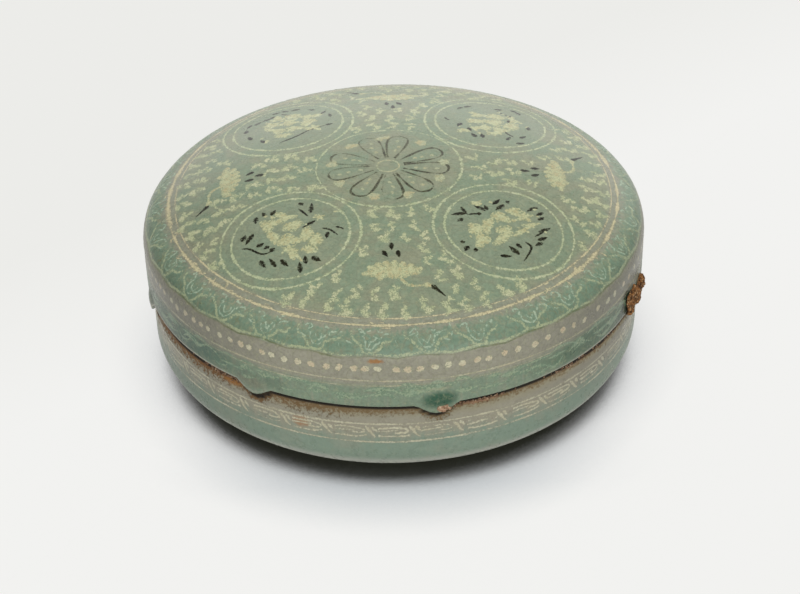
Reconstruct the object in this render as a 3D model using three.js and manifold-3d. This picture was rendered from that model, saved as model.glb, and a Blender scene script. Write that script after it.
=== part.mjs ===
// A covered cosmetic box of inlaid celadon: a bowl-like body and a domed lid that lifts straight off it.
// The body carries a low upright flange that keeps the lid centred, and the lid's bare rim rests on the
// body's bare seat. In the firing the lid's rim swelled and ran in four places, and two lumps of kiln
// grit stuck to it.
// Millimetres, +Z up. The origin is the centre of the ring that the box stands on, and -Y is its front.
import * as THREE from "three";
import { mergeVertices } from "three/addons/utils/BufferGeometryUtils.js";
import Module from "manifold-3d";

// Body, outside: an upright wall that turns under in a quarter of an ellipse, down to a flat foot ring.
const SEAT_HEIGHT = 36.6;
const BELLY_HEIGHT = 16.8;
const BELLY_REACH = 35;
const BELLY_DROP = 17.2;
const FOOT_RING_WIDTH = 8;
const FOOT_RECESS = 1.6;
const FOOT_RECESS_SLOPE = 2;

// Body, inside: the flange round the mouth, and a well with a rounded bottom edge and a flat floor.
const FLANGE_HEIGHT = 7;
const FLANGE_THICKNESS = 3.4;
const FLANGE_CLEARANCE = 0.8;
const WELL_EDGE_REACH = 28;
const WELL_EDGE_DROP = 11.4;
const FLOOR_THICKNESS = 5;

// Lid, outside: a shallow dome, a tight shoulder and a wall that tapers a little and overhangs the body.
const LID_RADIUS = 90;
const LID_WALL_TAPER = 0.1;
const LID_OVERHANG = 1.6;
const LID_HEIGHT = 38.9;
const LID_WALL_HEIGHT = 16.1;
const DOME_DROP = 8.7;
const DOME_EDGE_DROP = 8.5;
const SHOULDER_REACH = 6.2;
const SHOULDER_TOP_PULL = 3.1;
const SHOULDER_SIDE_PULL = 4.5;

// Lid, inside.
const RIM_WIDTH = 5;
const CROWN_THICKNESS = 5.6;
const LID_INNER_TURN = 8;

// Edges that the potter's sponge has softened, and the gap between pieces that touch.
const SOFT_EDGE = 0.6;
const TOUCH_GAP = 0.3;

// How finely the round shapes are cut.
const TURN_SEGMENTS = 80;
const DOME_STEPS = 9;
const SHOULDER_STEPS = 7;
const BELLY_STEPS = 9;
const WELL_STEPS = 6;
const INNER_STEPS = 4;
const LUMP_SEGMENTS = 18;
const LUMP_RINGS = 12;

// Places on the lid's rim are angles from the front towards +X. What sits there rises above the rim,
// hangs below it in front of the body's wall, and stands proud of the lid's wall.
const SWELLINGS = [
  { angle: -75, width: 9, rise: 3.5, hang: 3.9, proud: 0.8 },
  { angle: -32.5, width: 13, rise: 5, hang: 3.1, proud: 0.9 },
  { angle: 8.5, width: 14.5, rise: 6.5, hang: 3.3, proud: 0.9 },
  { angle: 70, width: 20, rise: 12, hang: 0.9, proud: 0.9 },
];
const GRIT_LUMPS = [
  { name: "kiln_grit_front", angle: 9.8, width: 6, rise: 0.6, hang: 3.4, proud: 1.7 },
  { name: "kiln_grit_right", angle: 72, width: 15, rise: 10.5, hang: 1.5, proud: 2.6 },
];

// Heights and radii that follow from the sizes above.
const RIM_HEIGHT = SEAT_HEIGHT + TOUCH_GAP;
const CROWN_HEIGHT = RIM_HEIGHT + LID_HEIGHT;
const SHOULDER_START = LID_RADIUS - SHOULDER_REACH;
const LID_WALL_TOP = RIM_HEIGHT + LID_WALL_HEIGHT;
const LID_RIM_RADIUS = LID_RADIUS - LID_WALL_TAPER;
const BODY_RADIUS = LID_RIM_RADIUS - LID_OVERHANG;
const LID_BORE = LID_RIM_RADIUS - RIM_WIDTH;
const FLANGE_RADIUS = LID_BORE - FLANGE_CLEARANCE;
const FLANGE_TOP = SEAT_HEIGHT + FLANGE_HEIGHT;
const WELL_RADIUS = FLANGE_RADIUS - FLANGE_THICKNESS;
const FLOOR_HEIGHT = FOOT_RECESS + FLOOR_THICKNESS;
const WELL_EDGE_HEIGHT = FLOOR_HEIGHT + WELL_EDGE_DROP;

const wasm = await Module();
wasm.setup();

// Height of the dome's outside at a radius: the crown less a square and a fourth-power fall.
function domeHeight(radius) {
  const share = radius / LID_RADIUS;
  return CROWN_HEIGHT - DOME_DROP * share ** 2 - DOME_EDGE_DROP * share ** 4;
}

// Rise of the dome's outside per unit of radius.
function domeSlope(radius) {
  const share = radius / LID_RADIUS;
  return -(2 * DOME_DROP * share + 4 * DOME_EDGE_DROP * share ** 3) / LID_RADIUS;
}

// Points along the dome, lowered by a thickness, from one radius to another.
function domePoints(from, to, lower, steps) {
  return Array.from({ length: steps + 1 }, (_, i) => {
    const radius = THREE.MathUtils.lerp(from, to, i / steps);
    return new THREE.Vector2(radius, domeHeight(radius) - lower);
  });
}

// The shoulder: a cubic curve that leaves the dome along its slope and meets the wall upright.
function shoulderPoints() {
  const start = new THREE.Vector2(SHOULDER_START, domeHeight(SHOULDER_START));
  const end = new THREE.Vector2(LID_RADIUS, LID_WALL_TOP);
  const along = new THREE.Vector2(1, domeSlope(SHOULDER_START)).setLength(SHOULDER_TOP_PULL);
  const up = new THREE.Vector2(0, SHOULDER_SIDE_PULL);
  const curve = new THREE.CubicBezierCurve(start, start.clone().add(along), end.clone().add(up), end);
  return curve.getPoints(SHOULDER_STEPS);
}

// The turn from the underside of the dome down into the straight bore.
function innerTurnPoints() {
  const radius = LID_BORE - LID_INNER_TURN;
  const start = new THREE.Vector2(radius, domeHeight(radius) - CROWN_THICKNESS);
  const corner = new THREE.Vector2(LID_BORE, start.y + domeSlope(radius) * LID_INNER_TURN);
  const end = new THREE.Vector2(LID_BORE, corner.y - LID_INNER_TURN);
  return new THREE.QuadraticBezierCurve(start, corner, end).getPoints(INNER_STEPS);
}

// A quarter of an ellipse from its widest point down and in, as far as a share of the quarter turn.
function quarterEllipse(widest, top, reach, drop, share, steps) {
  return Array.from({ length: steps + 1 }, (_, i) => {
    const turn = (i / steps) * share * (Math.PI / 2);
    return new THREE.Vector2(
      widest - reach * (1 - Math.cos(turn)),
      top - drop * Math.sin(turn),
    );
  });
}

// The lid's section, from the crown's outside down the wall, across the rim and up the inside.
function lidSection() {
  return [
    ...domePoints(0, SHOULDER_START, 0, DOME_STEPS),
    ...shoulderPoints().slice(1),
    new THREE.Vector2(LID_RIM_RADIUS, RIM_HEIGHT + SOFT_EDGE),
    new THREE.Vector2(LID_RIM_RADIUS - SOFT_EDGE, RIM_HEIGHT),
    new THREE.Vector2(LID_BORE + SOFT_EDGE, RIM_HEIGHT),
    new THREE.Vector2(LID_BORE, RIM_HEIGHT + SOFT_EDGE),
    ...innerTurnPoints().reverse(),
    ...domePoints(LID_BORE - LID_INNER_TURN, 0, CROWN_THICKNESS, INNER_STEPS).slice(1),
  ];
}

// The body's section, from the middle of the foot recess out, up the wall, over the flange and down
// into the well.
function bodySection() {
  const belly = quarterEllipse(
    BODY_RADIUS,
    BELLY_HEIGHT,
    BELLY_REACH,
    BELLY_DROP,
    Math.asin(BELLY_HEIGHT / BELLY_DROP) / (Math.PI / 2),
    BELLY_STEPS,
  ).reverse();
  const footInner = belly[0].x - FOOT_RING_WIDTH;
  return [
    new THREE.Vector2(0, FOOT_RECESS),
    new THREE.Vector2(footInner - FOOT_RECESS_SLOPE, FOOT_RECESS),
    new THREE.Vector2(footInner, 0),
    ...belly,
    new THREE.Vector2(BODY_RADIUS, SEAT_HEIGHT - SOFT_EDGE),
    new THREE.Vector2(BODY_RADIUS - SOFT_EDGE, SEAT_HEIGHT),
    new THREE.Vector2(FLANGE_RADIUS, SEAT_HEIGHT),
    new THREE.Vector2(FLANGE_RADIUS, FLANGE_TOP - SOFT_EDGE),
    new THREE.Vector2(FLANGE_RADIUS - SOFT_EDGE, FLANGE_TOP),
    new THREE.Vector2(WELL_RADIUS + SOFT_EDGE, FLANGE_TOP),
    new THREE.Vector2(WELL_RADIUS, FLANGE_TOP - SOFT_EDGE),
    ...quarterEllipse(
      WELL_RADIUS,
      WELL_EDGE_HEIGHT,
      WELL_EDGE_REACH,
      WELL_EDGE_DROP,
      1,
      WELL_STEPS,
    ),
    new THREE.Vector2(0, FLOOR_HEIGHT),
  ];
}

// Turns a section about +Z. The section's points run so that the faces point out.
function turned(section) {
  const geometry = new THREE.LatheGeometry(section, TURN_SEGMENTS);
  geometry.rotateX(Math.PI / 2);
  return geometry;
}

// A closed mesh of merged points as a solid that can be cut.
function solidOf(geometry) {
  const bare = geometry.clone();
  bare.deleteAttribute("normal");
  bare.deleteAttribute("uv");
  const merged = mergeVertices(bare);
  return new wasm.Manifold(
    new wasm.Mesh({
      numProp: 3,
      vertProperties: new Float32Array(merged.attributes.position.array),
      triVerts: new Uint32Array(merged.index.array),
    }),
  );
}

// The mesh of a cut solid, with flat faces.
function geometryOf(solid) {
  const { vertProperties, triVerts } = solid.getMesh();
  const indexed = new THREE.BufferGeometry();
  indexed.setAttribute("position", new THREE.BufferAttribute(vertProperties, 3));
  indexed.setIndex(new THREE.BufferAttribute(triVerts, 1));
  const geometry = indexed.toNonIndexed();
  geometry.computeVertexNormals();
  return geometry;
}

// Everything within a radius between two heights, which trims what sits on the rim.
function roundBlock(radius, low, high) {
  return turned([
    new THREE.Vector2(0, low),
    new THREE.Vector2(radius, low),
    new THREE.Vector2(radius, high),
    new THREE.Vector2(0, high),
  ]);
}

// An ellipsoid set into the lid's wall at a place on the rim, grown all round by a margin.
function onRim({ angle, width, rise, hang, proud }, margin) {
  const ellipsoid = new THREE.SphereGeometry(1, LUMP_SEGMENTS, LUMP_RINGS);
  ellipsoid.scale(proud + margin, width / 2 + margin, (rise + hang) / 2 + margin);
  ellipsoid.translate(LID_RADIUS, 0, RIM_HEIGHT + (rise - hang) / 2);
  ellipsoid.rotateZ(THREE.MathUtils.degToRad(angle) - Math.PI / 2);
  return solidOf(ellipsoid);
}

// The room that the body's wall needs, with the gap round it, up to the lid's rim.
function bodyRoom() {
  return solidOf(roundBlock(BODY_RADIUS + TOUCH_GAP, 0, RIM_HEIGHT));
}

// The turned lid with the rim's swellings joined on and kept clear of the body's wall.
function lidGeometry() {
  const room = bodyRoom();
  return geometryOf(
    SWELLINGS.reduce(
      (lid, swelling) => lid.add(onRim(swelling, 0).subtract(room)),
      solidOf(turned(lidSection().reverse())),
    ),
  );
}

// A lump of grit, cut back to clear the lid's wall, its swellings and the body's wall.
function gritGeometry(lump) {
  const lidRoom = solidOf(roundBlock(LID_RADIUS + TOUCH_GAP, RIM_HEIGHT - TOUCH_GAP, CROWN_HEIGHT));
  return geometryOf(
    SWELLINGS.reduce(
      (grit, swelling) => grit.subtract(onRim(swelling, TOUCH_GAP)),
      onRim(lump, 0).subtract(lidRoom).subtract(bodyRoom()),
    ),
  );
}

const celadon = { color: 0x84927f, roughness: 0.32, metalness: 0 };
const celadonBody = { color: 0x87948a, roughness: 0.34, metalness: 0 };
const kilnGrit = { color: 0x8c6c4e, roughness: 0.9, metalness: 0 };

function piece(name, geometry, finish) {
  const mesh = new THREE.Mesh(geometry, new THREE.MeshStandardMaterial(finish));
  mesh.name = name;
  return mesh;
}

const box = new THREE.Group();
box.name = "covered_cosmetic_box";
box.add(piece("box_body", turned(bodySection()), celadonBody));

const lid = new THREE.Group();
lid.name = "lid_with_grit";
lid.add(piece("box_lid", lidGeometry(), celadon));
for (const lump of GRIT_LUMPS) {
  lid.add(piece(lump.name, gritGeometry(lump), kilnGrit));
}
box.add(lid);

export default box;
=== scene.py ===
"""A round covered box of inlaid celadon: the looks of its lid and body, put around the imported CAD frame.

Every length in the working is in millimetres; meshes are stored in metres. +Z is up and -Y is the front.
A place on the dome is (x, y) seen from above. A place on an upright wall is (u, v): u is the length round
the wall from the front, v is the length up the face.
"""

import math
from functools import partial

import bpy
import numpy as np
from bpy.props import FloatProperty, FloatVectorProperty, IntProperty, PointerProperty
from mathutils import Matrix


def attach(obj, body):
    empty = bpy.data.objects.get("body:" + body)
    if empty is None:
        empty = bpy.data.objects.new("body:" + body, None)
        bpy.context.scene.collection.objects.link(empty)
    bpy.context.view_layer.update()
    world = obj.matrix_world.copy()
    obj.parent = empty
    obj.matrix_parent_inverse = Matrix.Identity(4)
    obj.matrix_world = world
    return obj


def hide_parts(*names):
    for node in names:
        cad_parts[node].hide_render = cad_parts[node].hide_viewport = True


bl_info = {
    "name": "Inlaid Celadon Covered Box",
    "version": (1, 0, 0),
    "blender": (4, 5, 0),
    "location": "3D View > Sidebar > Covered Box",
    "description": "Glazed lid and body, slip inlays, kiln grit and a plain stage for a covered box",
    "category": "Object",
}

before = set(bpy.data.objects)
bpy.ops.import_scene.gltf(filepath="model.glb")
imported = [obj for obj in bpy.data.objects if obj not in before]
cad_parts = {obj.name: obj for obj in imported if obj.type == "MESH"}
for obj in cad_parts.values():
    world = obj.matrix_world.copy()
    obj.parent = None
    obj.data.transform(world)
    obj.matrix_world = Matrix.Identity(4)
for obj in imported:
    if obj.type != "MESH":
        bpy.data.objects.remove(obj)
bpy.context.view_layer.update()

MM = 0.001
TURN = 2 * math.pi

# The turned shapes, as the frame has them.
LID_RADIUS = 90.0
LID_RIM_RADIUS = 89.9
LID_BORE = 84.9
RIM_HEIGHT = 36.9
LID_WALL_TOP = 53.0
CROWN_HEIGHT = 75.8
SHOULDER_START = 83.8
DOME_DROP = 8.7
DOME_EDGE_DROP = 8.5
SHOULDER_TOP_PULL = 3.1
SHOULDER_SIDE_PULL = 4.5
CROWN_THICKNESS = 5.6
LID_INNER_TURN = 8.0
BODY_RADIUS = 88.3
SEAT_HEIGHT = 36.6
BELLY_HEIGHT = 16.8
BELLY_REACH = 35.0
BELLY_DROP = 17.2
FLANGE_RADIUS = 84.1
FLANGE_TOP = 43.6
WELL_RADIUS = 80.7
WELL_EDGE_HEIGHT = 18.0
WELL_EDGE_REACH = 28.0
WELL_EDGE_DROP = 11.4
FLOOR_HEIGHT = 6.6
FOOT_OUTER = 60.8
FOOT_INNER = 52.8
FOOT_RECESS = 1.6
FOOT_RECESS_SLOPE = 2.0
SOFT_EDGE = 0.6
CLEAR_OF_BODY = 89.1

# Places where the glaze and clay swelled at the lid's rim: angle from the front towards +X in degrees,
# then width, rise above the rim, hang below it and stand proud of the wall.
SWELLINGS = (
    (-75.0, 9.0, 3.5, 3.9, 0.8),
    (-32.5, 13.0, 5.0, 3.1, 0.9),
    (8.5, 14.5, 6.5, 3.3, 0.9),
    (70.0, 20.0, 12.0, 0.9, 0.9),
)
# Lumps of grit: angle from the front, height of the middle, then how proud, wide and tall each lump is.
GRIT_LUMPS = {
    "kiln_grit_front": (
        (9.5, 35.7, 0.8, 4.6, 2.8),
        (8.9, 36.1, 0.9, 2.4, 2.0),
        (10.1, 36.2, 1.0, 2.6, 2.4),
        (9.5, 35.0, 0.9, 2.6, 1.6),
        (10.9, 35.4, 0.7, 1.6, 1.4),
    ),
    "kiln_grit_right": (
        (69.6, 40.6, 1.9, 12.0, 10.0),
        (71.6, 43.6, 2.3, 6.0, 4.6),
        (67.4, 41.2, 2.1, 7.4, 5.4),
        (65.4, 37.2, 1.6, 5.4, 3.8),
        (69.6, 37.8, 1.9, 6.0, 4.0),
        (73.6, 40.0, 2.1, 5.0, 4.6),
        (67.0, 45.0, 1.2, 3.6, 2.6),
        (64.8, 42.6, 1.5, 6.4, 6.4),
        (65.0, 39.2, 1.4, 5.0, 4.4),
    ),
}

# How far the glaze face lies inside the frame, its hand-made unevenness, and how inlays sit in it.
GLAZE_INSET = 0.07
UNEVEN = 0.10
PROUD = 0.045
EDGE_SINK = 0.02
ROOT_SINK = 0.25
# Lengths of the unevenness's waves and the seed of their directions, on the lid and on the body.
LID_WAVES = ((37, 52, 71, 29), 3)
BODY_WAVES = ((33, 57, 83), 5)
# The step from glaze to bare clay below the seat: its height, how deep it is and how far it is spread.
GLAZE_EDGE_HEIGHT = 31.1
GLAZE_EDGE_DEPTH = 0.15
GLAZE_EDGE_SPREAD = 2.0

# How much wider a lens is than the slip that shows in it: the rest fades out as the glaze's soft edge.
LINE_FADE = 1.8
PATCH_FADE = 1.25
# Patches lie at five heights by turns, this far apart, so that few that overlap are flush.
OVERLAP_LAYERS = 5
OVERLAP_STEP = 0.004
# What a patch's inner ring has of the height and strength of its middle.
INNER_PROUD = 0.85
INNER_STRENGTH = 0.8


def linear(code):
    """An sRGB hex colour as linear red, green and blue."""
    parts = [int(code[i : i + 2], 16) / 255 for i in (1, 3, 5)]
    return tuple(c / 12.92 if c <= 0.04045 else ((c + 0.055) / 1.055) ** 2.4 for c in parts)


def colour_property(name, description, code):
    """A colour in the sidebar, from its sRGB hex code."""
    return FloatVectorProperty(
        name=name, description=description, default=linear(code), subtype="COLOR", size=3, min=0, max=1
    )


def length_property(name, description, default_mm):
    """A length in the sidebar, from millimetres."""
    default = default_mm * MM
    return FloatProperty(
        name=name, description=description, default=default, min=0, unit="LENGTH", subtype="DISTANCE"
    )


class CoveredBoxSizes(bpy.types.PropertyGroup):
    """Sizes and counts of the ornament."""

    border_ring: length_property("Border ring", "Radius of the bold ring round the dome", 80.26)
    thin_ring: length_property("Thin ring", "Radius of the thin ring inside the border ring", 77.8)
    centre_ring: length_property("Centre ring", "Radius of the ring round the flower", 25.98)
    medallion_outer: length_property("Medallion outer ring", "Outer ring radius", 24.18)
    medallion_inner: length_property("Medallion inner ring", "Inner ring radius", 20.33)
    line_width: length_property("Inlaid line", "Width of the fine inlaid lines", 0.75)
    border_width: length_property("Border line", "Width of the bold border ring", 0.8)
    bead_width: length_property("Bead", "Width of a bead on the lid's wall", 2.4)
    bead_height: length_property("Bead height", "Height of the bead row", 52.6)
    cloud_spacing: length_property("Cloud spacing", "Distance between cloud stamps", 6.7)
    bead_count: IntProperty(name="Beads", description="Beads in the row", default=120, min=8)
    ruyi_count: IntProperty(name="Ruyi heads", description="Ruyi heads in the band", default=30, min=4)
    fret_count: IntProperty(name="Fret units", description="Units of the key fret", default=36, min=4)


class CoveredBoxColours(bpy.types.PropertyGroup):
    """Colours of the glaze, slips, clay and floor."""

    field_green: colour_property("Field green", "Glaze over the dome where it is green", "#82937A")
    field_grey: colour_property("Field grey", "Glaze over the dome where it is grey-brown", "#90937A")
    medallion_green: colour_property("Medallion green", "Glaze inside the medallions", "#84927A")
    band_teal: colour_property("Band teal", "Pooled glaze over the ruyi band", "#79917B")
    bead_grey: colour_property("Bead ground", "Glaze behind the beads", "#989686")
    low_green: colour_property("Low green", "Glaze low on the lid's wall", "#7D907B")
    body_grey: colour_property("Body grey", "Glaze high on the body", "#9C9887")
    body_green: colour_property("Body green", "Glaze low on the body", "#839686")
    cream_slip: colour_property("Cream slip", "White clay inlay under the glaze", "#C3C79B")
    black_slip: colour_property("Black slip", "Iron clay inlay under the glaze", "#141204")
    clay_buff: colour_property("Buff clay", "Bare fired clay", "#9D977F")
    clay_brown: colour_property("Brown clay", "Bare clay that burnt brown", "#6E4B26")
    grit_brown: colour_property("Grit brown", "Kiln grit", "#A8733F")
    floor: colour_property("Floor", "Plain pale floor", "#F1F1EE")


# Shapes: surfaces as functions of two parameters.


def bezier(points, steps):
    """Cubic curve: the four points weighted by the Bernstein terms of an even parameter."""
    t = np.linspace(0, 1, steps + 1)[:, None]
    a, b, c, d = np.asarray(points, float)
    return (1 - t) ** 3 * a + 3 * (1 - t) ** 2 * t * b + 3 * (1 - t) * t**2 * c + t**3 * d


def dome_height(radius):
    """The crown's height less a square and a fourth-power fall."""
    share = radius / LID_RADIUS
    return CROWN_HEIGHT - DOME_DROP * share**2 - DOME_EDGE_DROP * share**4


def dome_slope(radius):
    """Rise of the dome per unit of radius."""
    share = radius / LID_RADIUS
    return -(2 * DOME_DROP * share + 4 * DOME_EDGE_DROP * share**3) / LID_RADIUS


def shoulder(steps):
    """The cubic turn from the dome's edge to the upright wall."""
    start = np.array((SHOULDER_START, dome_height(SHOULDER_START)))
    slope = np.array((1, dome_slope(SHOULDER_START)))
    end = np.array((LID_RADIUS, LID_WALL_TOP))
    handle = start + slope * SHOULDER_TOP_PULL / np.hypot(*slope)
    return bezier((start, handle, end + (0, SHOULDER_SIDE_PULL), end), steps)


class TurnedFace:
    """An outer face turned about +Z: radius, height and normal against the length up it from its foot."""

    def __init__(self, line):
        self.radius, self.height = line.T
        step = np.hypot(np.diff(self.radius), np.diff(self.height))
        self.along = np.concatenate(([0], np.cumsum(step)))
        rise = np.gradient(line, self.along, axis=0)
        rise /= np.linalg.norm(rise, axis=1)[:, None]
        self.out, self.up = rise[:, 1], -rise[:, 0]

    def at_radius(self, radius):
        """The length up the face at a radius; the face runs inwards as it rises."""
        return np.interp(-radius, -self.radius, self.along)

    def at_height(self, height):
        """The length up the face at a height."""
        return np.interp(height, self.height, self.along)

    def section(self, along):
        """Radius, height and the normal's outward and upward parts at lengths up the face."""
        return [np.interp(along, self.along, a) for a in (self.radius, self.height, self.out, self.up)]


LID_WALL = np.linspace((LID_RIM_RADIUS, RIM_HEIGHT), (LID_RADIUS, LID_WALL_TOP), 40)
DOME_RADII = np.linspace(SHOULDER_START, 0, 300)
DOME = np.stack([DOME_RADII, dome_height(DOME_RADII)], axis=1)
LID_LINE = TurnedFace(np.concatenate((LID_WALL[:-1], shoulder(60)[::-1][:-1], DOME)))

# The belly is a part of an ellipse's quarter, from the foot ring up to the wall.
BELLY_TURN = np.linspace(math.asin(BELLY_HEIGHT / BELLY_DROP), 0, 80)
BELLY_RADII = BODY_RADIUS - BELLY_REACH * (1 - np.cos(BELLY_TURN))
BELLY = np.stack([BELLY_RADII, BELLY_HEIGHT - BELLY_DROP * np.sin(BELLY_TURN)], axis=1)
BODY_WALL = np.linspace((BODY_RADIUS, BELLY_HEIGHT), (BODY_RADIUS, SEAT_HEIGHT), 40)
BODY_LINE = TurnedFace(np.concatenate((BELLY[:-1], BODY_WALL)))
BODY_LINE.along += BELLY_HEIGHT - BODY_LINE.at_height(BELLY_HEIGHT)


def waves(points, lengths, seed):
    """Smooth unevenness from 0 to 1: sines of random direction and the given wavelengths, averaged."""
    draw = np.random.default_rng(seed)
    total = 0.0
    for length in lengths:
        way = draw.normal(size=3)
        way /= np.linalg.norm(way)
        total = total + np.sin(points @ way * (TURN / length) + draw.uniform(0, TURN))
    return 0.5 + 0.5 * total / len(lengths)


def from_front(turn):
    """Degrees from the front towards +X, from -180 to 180."""
    return (np.degrees(turn) + 90 + 180) % 360 - 180


def swelling_reach(turn, spot):
    """Share of a swelling's half width that a place is away from its middle."""
    angle, width = spot[:2]
    return (from_front(turn) - angle) * math.radians(1) * LID_RADIUS / (width / 2)


def swelling_proud(turn, height):
    """How far the wall stands out: for each swelling, its proudness times a soft round hump."""
    total = 0.0
    for spot in SWELLINGS:
        rise, hang, proud = spot[2:]
        across = swelling_reach(turn, spot)
        upward = (height - RIM_HEIGHT - (rise - hang) / 2) / ((rise + hang) / 2)
        total = total + proud * np.clip(1 - across**2 - upward**2, 0, 1) ** 0.6
    return total


def rim_hang(turn):
    """How far the lid's lower edge hangs below the rim's height."""
    total = 0.0
    for spot in SWELLINGS:
        rise, hang = spot[2:4]
        across = np.clip(1 - swelling_reach(turn, spot) ** 2, 0, 1)
        total = total + hang * across**1.4
    return total


def turned_point(turn, radius, height):
    """Points on a turned face, from angle, radius and height."""
    return np.stack([radius * np.cos(turn), radius * np.sin(turn), height * np.ones_like(turn)], axis=-1)


def lifted(turn, section, lift):
    """Points lifted off a turned face along its normal, and the normals."""
    radius, height, out, up = section
    normals = turned_point(turn, out * np.ones_like(turn), up)
    return turned_point(turn, radius + out * lift, height + up * lift), normals


def lid_face(turn, along, lift):
    """Points and normals on the lid: the turned line with the swellings, less inset and unevenness."""
    radius, height, out, up = LID_LINE.section(along)
    lift = lift - GLAZE_INSET - UNEVEN * waves(turned_point(turn, radius, height), *LID_WAVES)
    return lifted(turn, (radius + swelling_proud(turn, height), height, out, up), lift)


def glaze_edge(turn):
    """Height at which the body's glaze was wiped off below the seat: three waves round a middle height."""
    slow = 0.5 * np.sin(3 * turn + 1) + 0.35 * np.sin(7 * turn + 2)
    return GLAZE_EDGE_HEIGHT + slow + 0.2 * np.sin(17 * turn)


def body_face(turn, along, lift):
    """Points and normals on the body: the turned line, stepped in by the glaze's thickness where it is bare.

    The step is smooth: three times the square less twice the cube of how far up its spread a place is.
    """
    radius, height, out, up = BODY_LINE.section(along)
    bare = np.clip((height - glaze_edge(turn)) / GLAZE_EDGE_SPREAD + 0.5, 0, 1)
    lift = lift - GLAZE_INSET - GLAZE_EDGE_DEPTH * bare * bare * (3 - 2 * bare)
    lift = lift - UNEVEN * waves(turned_point(turn, radius, height), *BODY_WAVES)
    return lifted(turn, (radius, height, out, up), lift)


def on_dome(u, v, lift):
    """A place seen from above, on the lid."""
    return lid_face(np.arctan2(v, u), LID_LINE.at_radius(np.hypot(u, v)), lift)


def on_lid_wall(u, v, lift):
    """A place on the lid's wall or shoulder: length round from the front, length up the face."""
    return lid_face(u / LID_RADIUS - TURN / 4, v, lift)


def on_body_wall(u, v, lift):
    """A place on the body's wall: length round from the front, length up the face."""
    return body_face(u / BODY_RADIUS - TURN / 4, v, lift)


# Meshes.


def grid_faces(rows, columns, wrap_rows=False):
    """Quads of a grid of points numbered row by row, whose rows are closed, and if asked its columns too."""
    i = np.arange(rows if wrap_rows else rows - 1)[:, None]
    j = np.arange(columns)[None, :]
    below, beside = (i + 1) % rows, (j + 1) % columns
    corners = [i * columns + j, i * columns + beside, below * columns + beside, below * columns + j]
    return np.stack(np.broadcast_arrays(*corners), axis=-1).reshape(-1, 4)


def triangles(faces):
    """Quads cut in two; triangles as they are."""
    return faces if faces.shape[1] == 3 else np.concatenate((faces[:, [0, 1, 2]], faces[:, [0, 2, 3]]))


def signed_volume(points, faces):
    """Six times the volume inside, by summing each triangle's corners' triple product."""
    a, b, c = (points[triangles(faces)[:, k]] for k in range(3))
    return np.einsum("ij,ij->", a, np.cross(b, c))


def in_scene(name, data):
    """An object in the scene, at the origin, that holds a mesh, a lamp or a camera."""
    holder = bpy.data.objects.new(name, data)
    bpy.context.scene.collection.objects.link(holder)
    return holder


# Values that a mesh may hold at its points, which the materials read.
MARKS = ("core", "burnt", "seam", "lip")


def add_piece(name, parts, body, material, replaces=None, unwrap=None):
    """Makes one mesh from parts of points, faces, and if given normals and marks, and hangs it on its body.

    The faces are turned round where their signed volume is negative, so that they point outwards.
    """
    points = np.concatenate([p["points"].reshape(-1, 3) for p in parts])
    starts = np.cumsum([0] + [p["points"].size // 3 for p in parts])
    faces = np.concatenate([p["faces"] + s for p, s in zip(parts, starts)])
    if signed_volume(points, faces) < 0:
        faces = faces[:, ::-1]
    mesh = bpy.data.meshes.new(name)
    mesh.from_pydata(points * MM, [], faces)
    for mark in [m for m in MARKS if m in parts[0]]:
        values = np.concatenate([p[mark].ravel() for p in parts]).astype(np.float32)
        mesh.attributes.new(mark, "FLOAT", "POINT").data.foreach_set("value", values)
    mesh.shade_smooth()
    if "normals" in parts[0]:
        normals = np.concatenate([p["normals"].reshape(-1, 3) for p in parts])
        mesh.normals_split_custom_set_from_vertices(normals)
    if unwrap is not None:
        corners = np.zeros(len(mesh.loops), np.int64)
        mesh.loops.foreach_get("vertex_index", corners)
        layout = unwrap(points[corners]).astype(np.float32)
        mesh.uv_layers.new(name="OFBake").data.foreach_set("uv", layout.ravel())
    mesh.materials.append(material)
    piece = in_scene(name, mesh)
    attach(piece, body)
    if replaces:
        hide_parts(*replaces)


def from_above(points):
    """Bake layout for pieces on the dome: the plan, scaled to fill the square."""
    return points[:, :2] / (2 * LID_RADIUS) + 0.5


STRIPS = 6
# The share of a strip that is used and the margin before it, across and upwards.
ACROSS_STRIP = (0.98, 0.01)
UP_STRIP = (0.94, 0.03)


def in_strips(low, high, points):
    """Bake layout for pieces on a wall: the wall unrolled and cut into strips that stack up the square.

    Each face takes the strip of its own middle, so that no face spans two strips.
    """
    share = from_front(np.arctan2(points[:, 1], points[:, 0])) / 360 + 0.5
    per_face = share.reshape(-1, 3)
    wrapped = per_face - np.round(per_face - per_face[:, :1])
    strip = np.clip(np.floor(wrapped.mean(axis=1) * STRIPS), 0, STRIPS - 1)[:, None]
    across = (wrapped * STRIPS - strip) * ACROSS_STRIP[0] + ACROSS_STRIP[1]
    upward = ((points[:, 2] - low) / (high - low)).reshape(-1, 3) * UP_STRIP[0] + UP_STRIP[1]
    return np.stack([across.ravel(), ((strip + upward) / STRIPS).ravel()], axis=1)


def smooth_line(points, count):
    """Even stations on a curve through the points, by Catmull-Rom weights."""
    p = np.asarray(points, float)
    p = np.concatenate((2 * p[:1] - p[1:2], p, 2 * p[-1:] - p[-2:-1]))
    t = np.linspace(0, len(p) - 3 - 1e-9, count)
    k = t.astype(int)
    f = (t - k)[:, None]
    a, b, c, d = p[k], p[k + 1], p[k + 2], p[k + 3]
    return 0.5 * (2 * b + (c - a) * f + (2 * a - 5 * b + 4 * c - d) * f**2 + (3 * b - a - 3 * c + d) * f**3)


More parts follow.
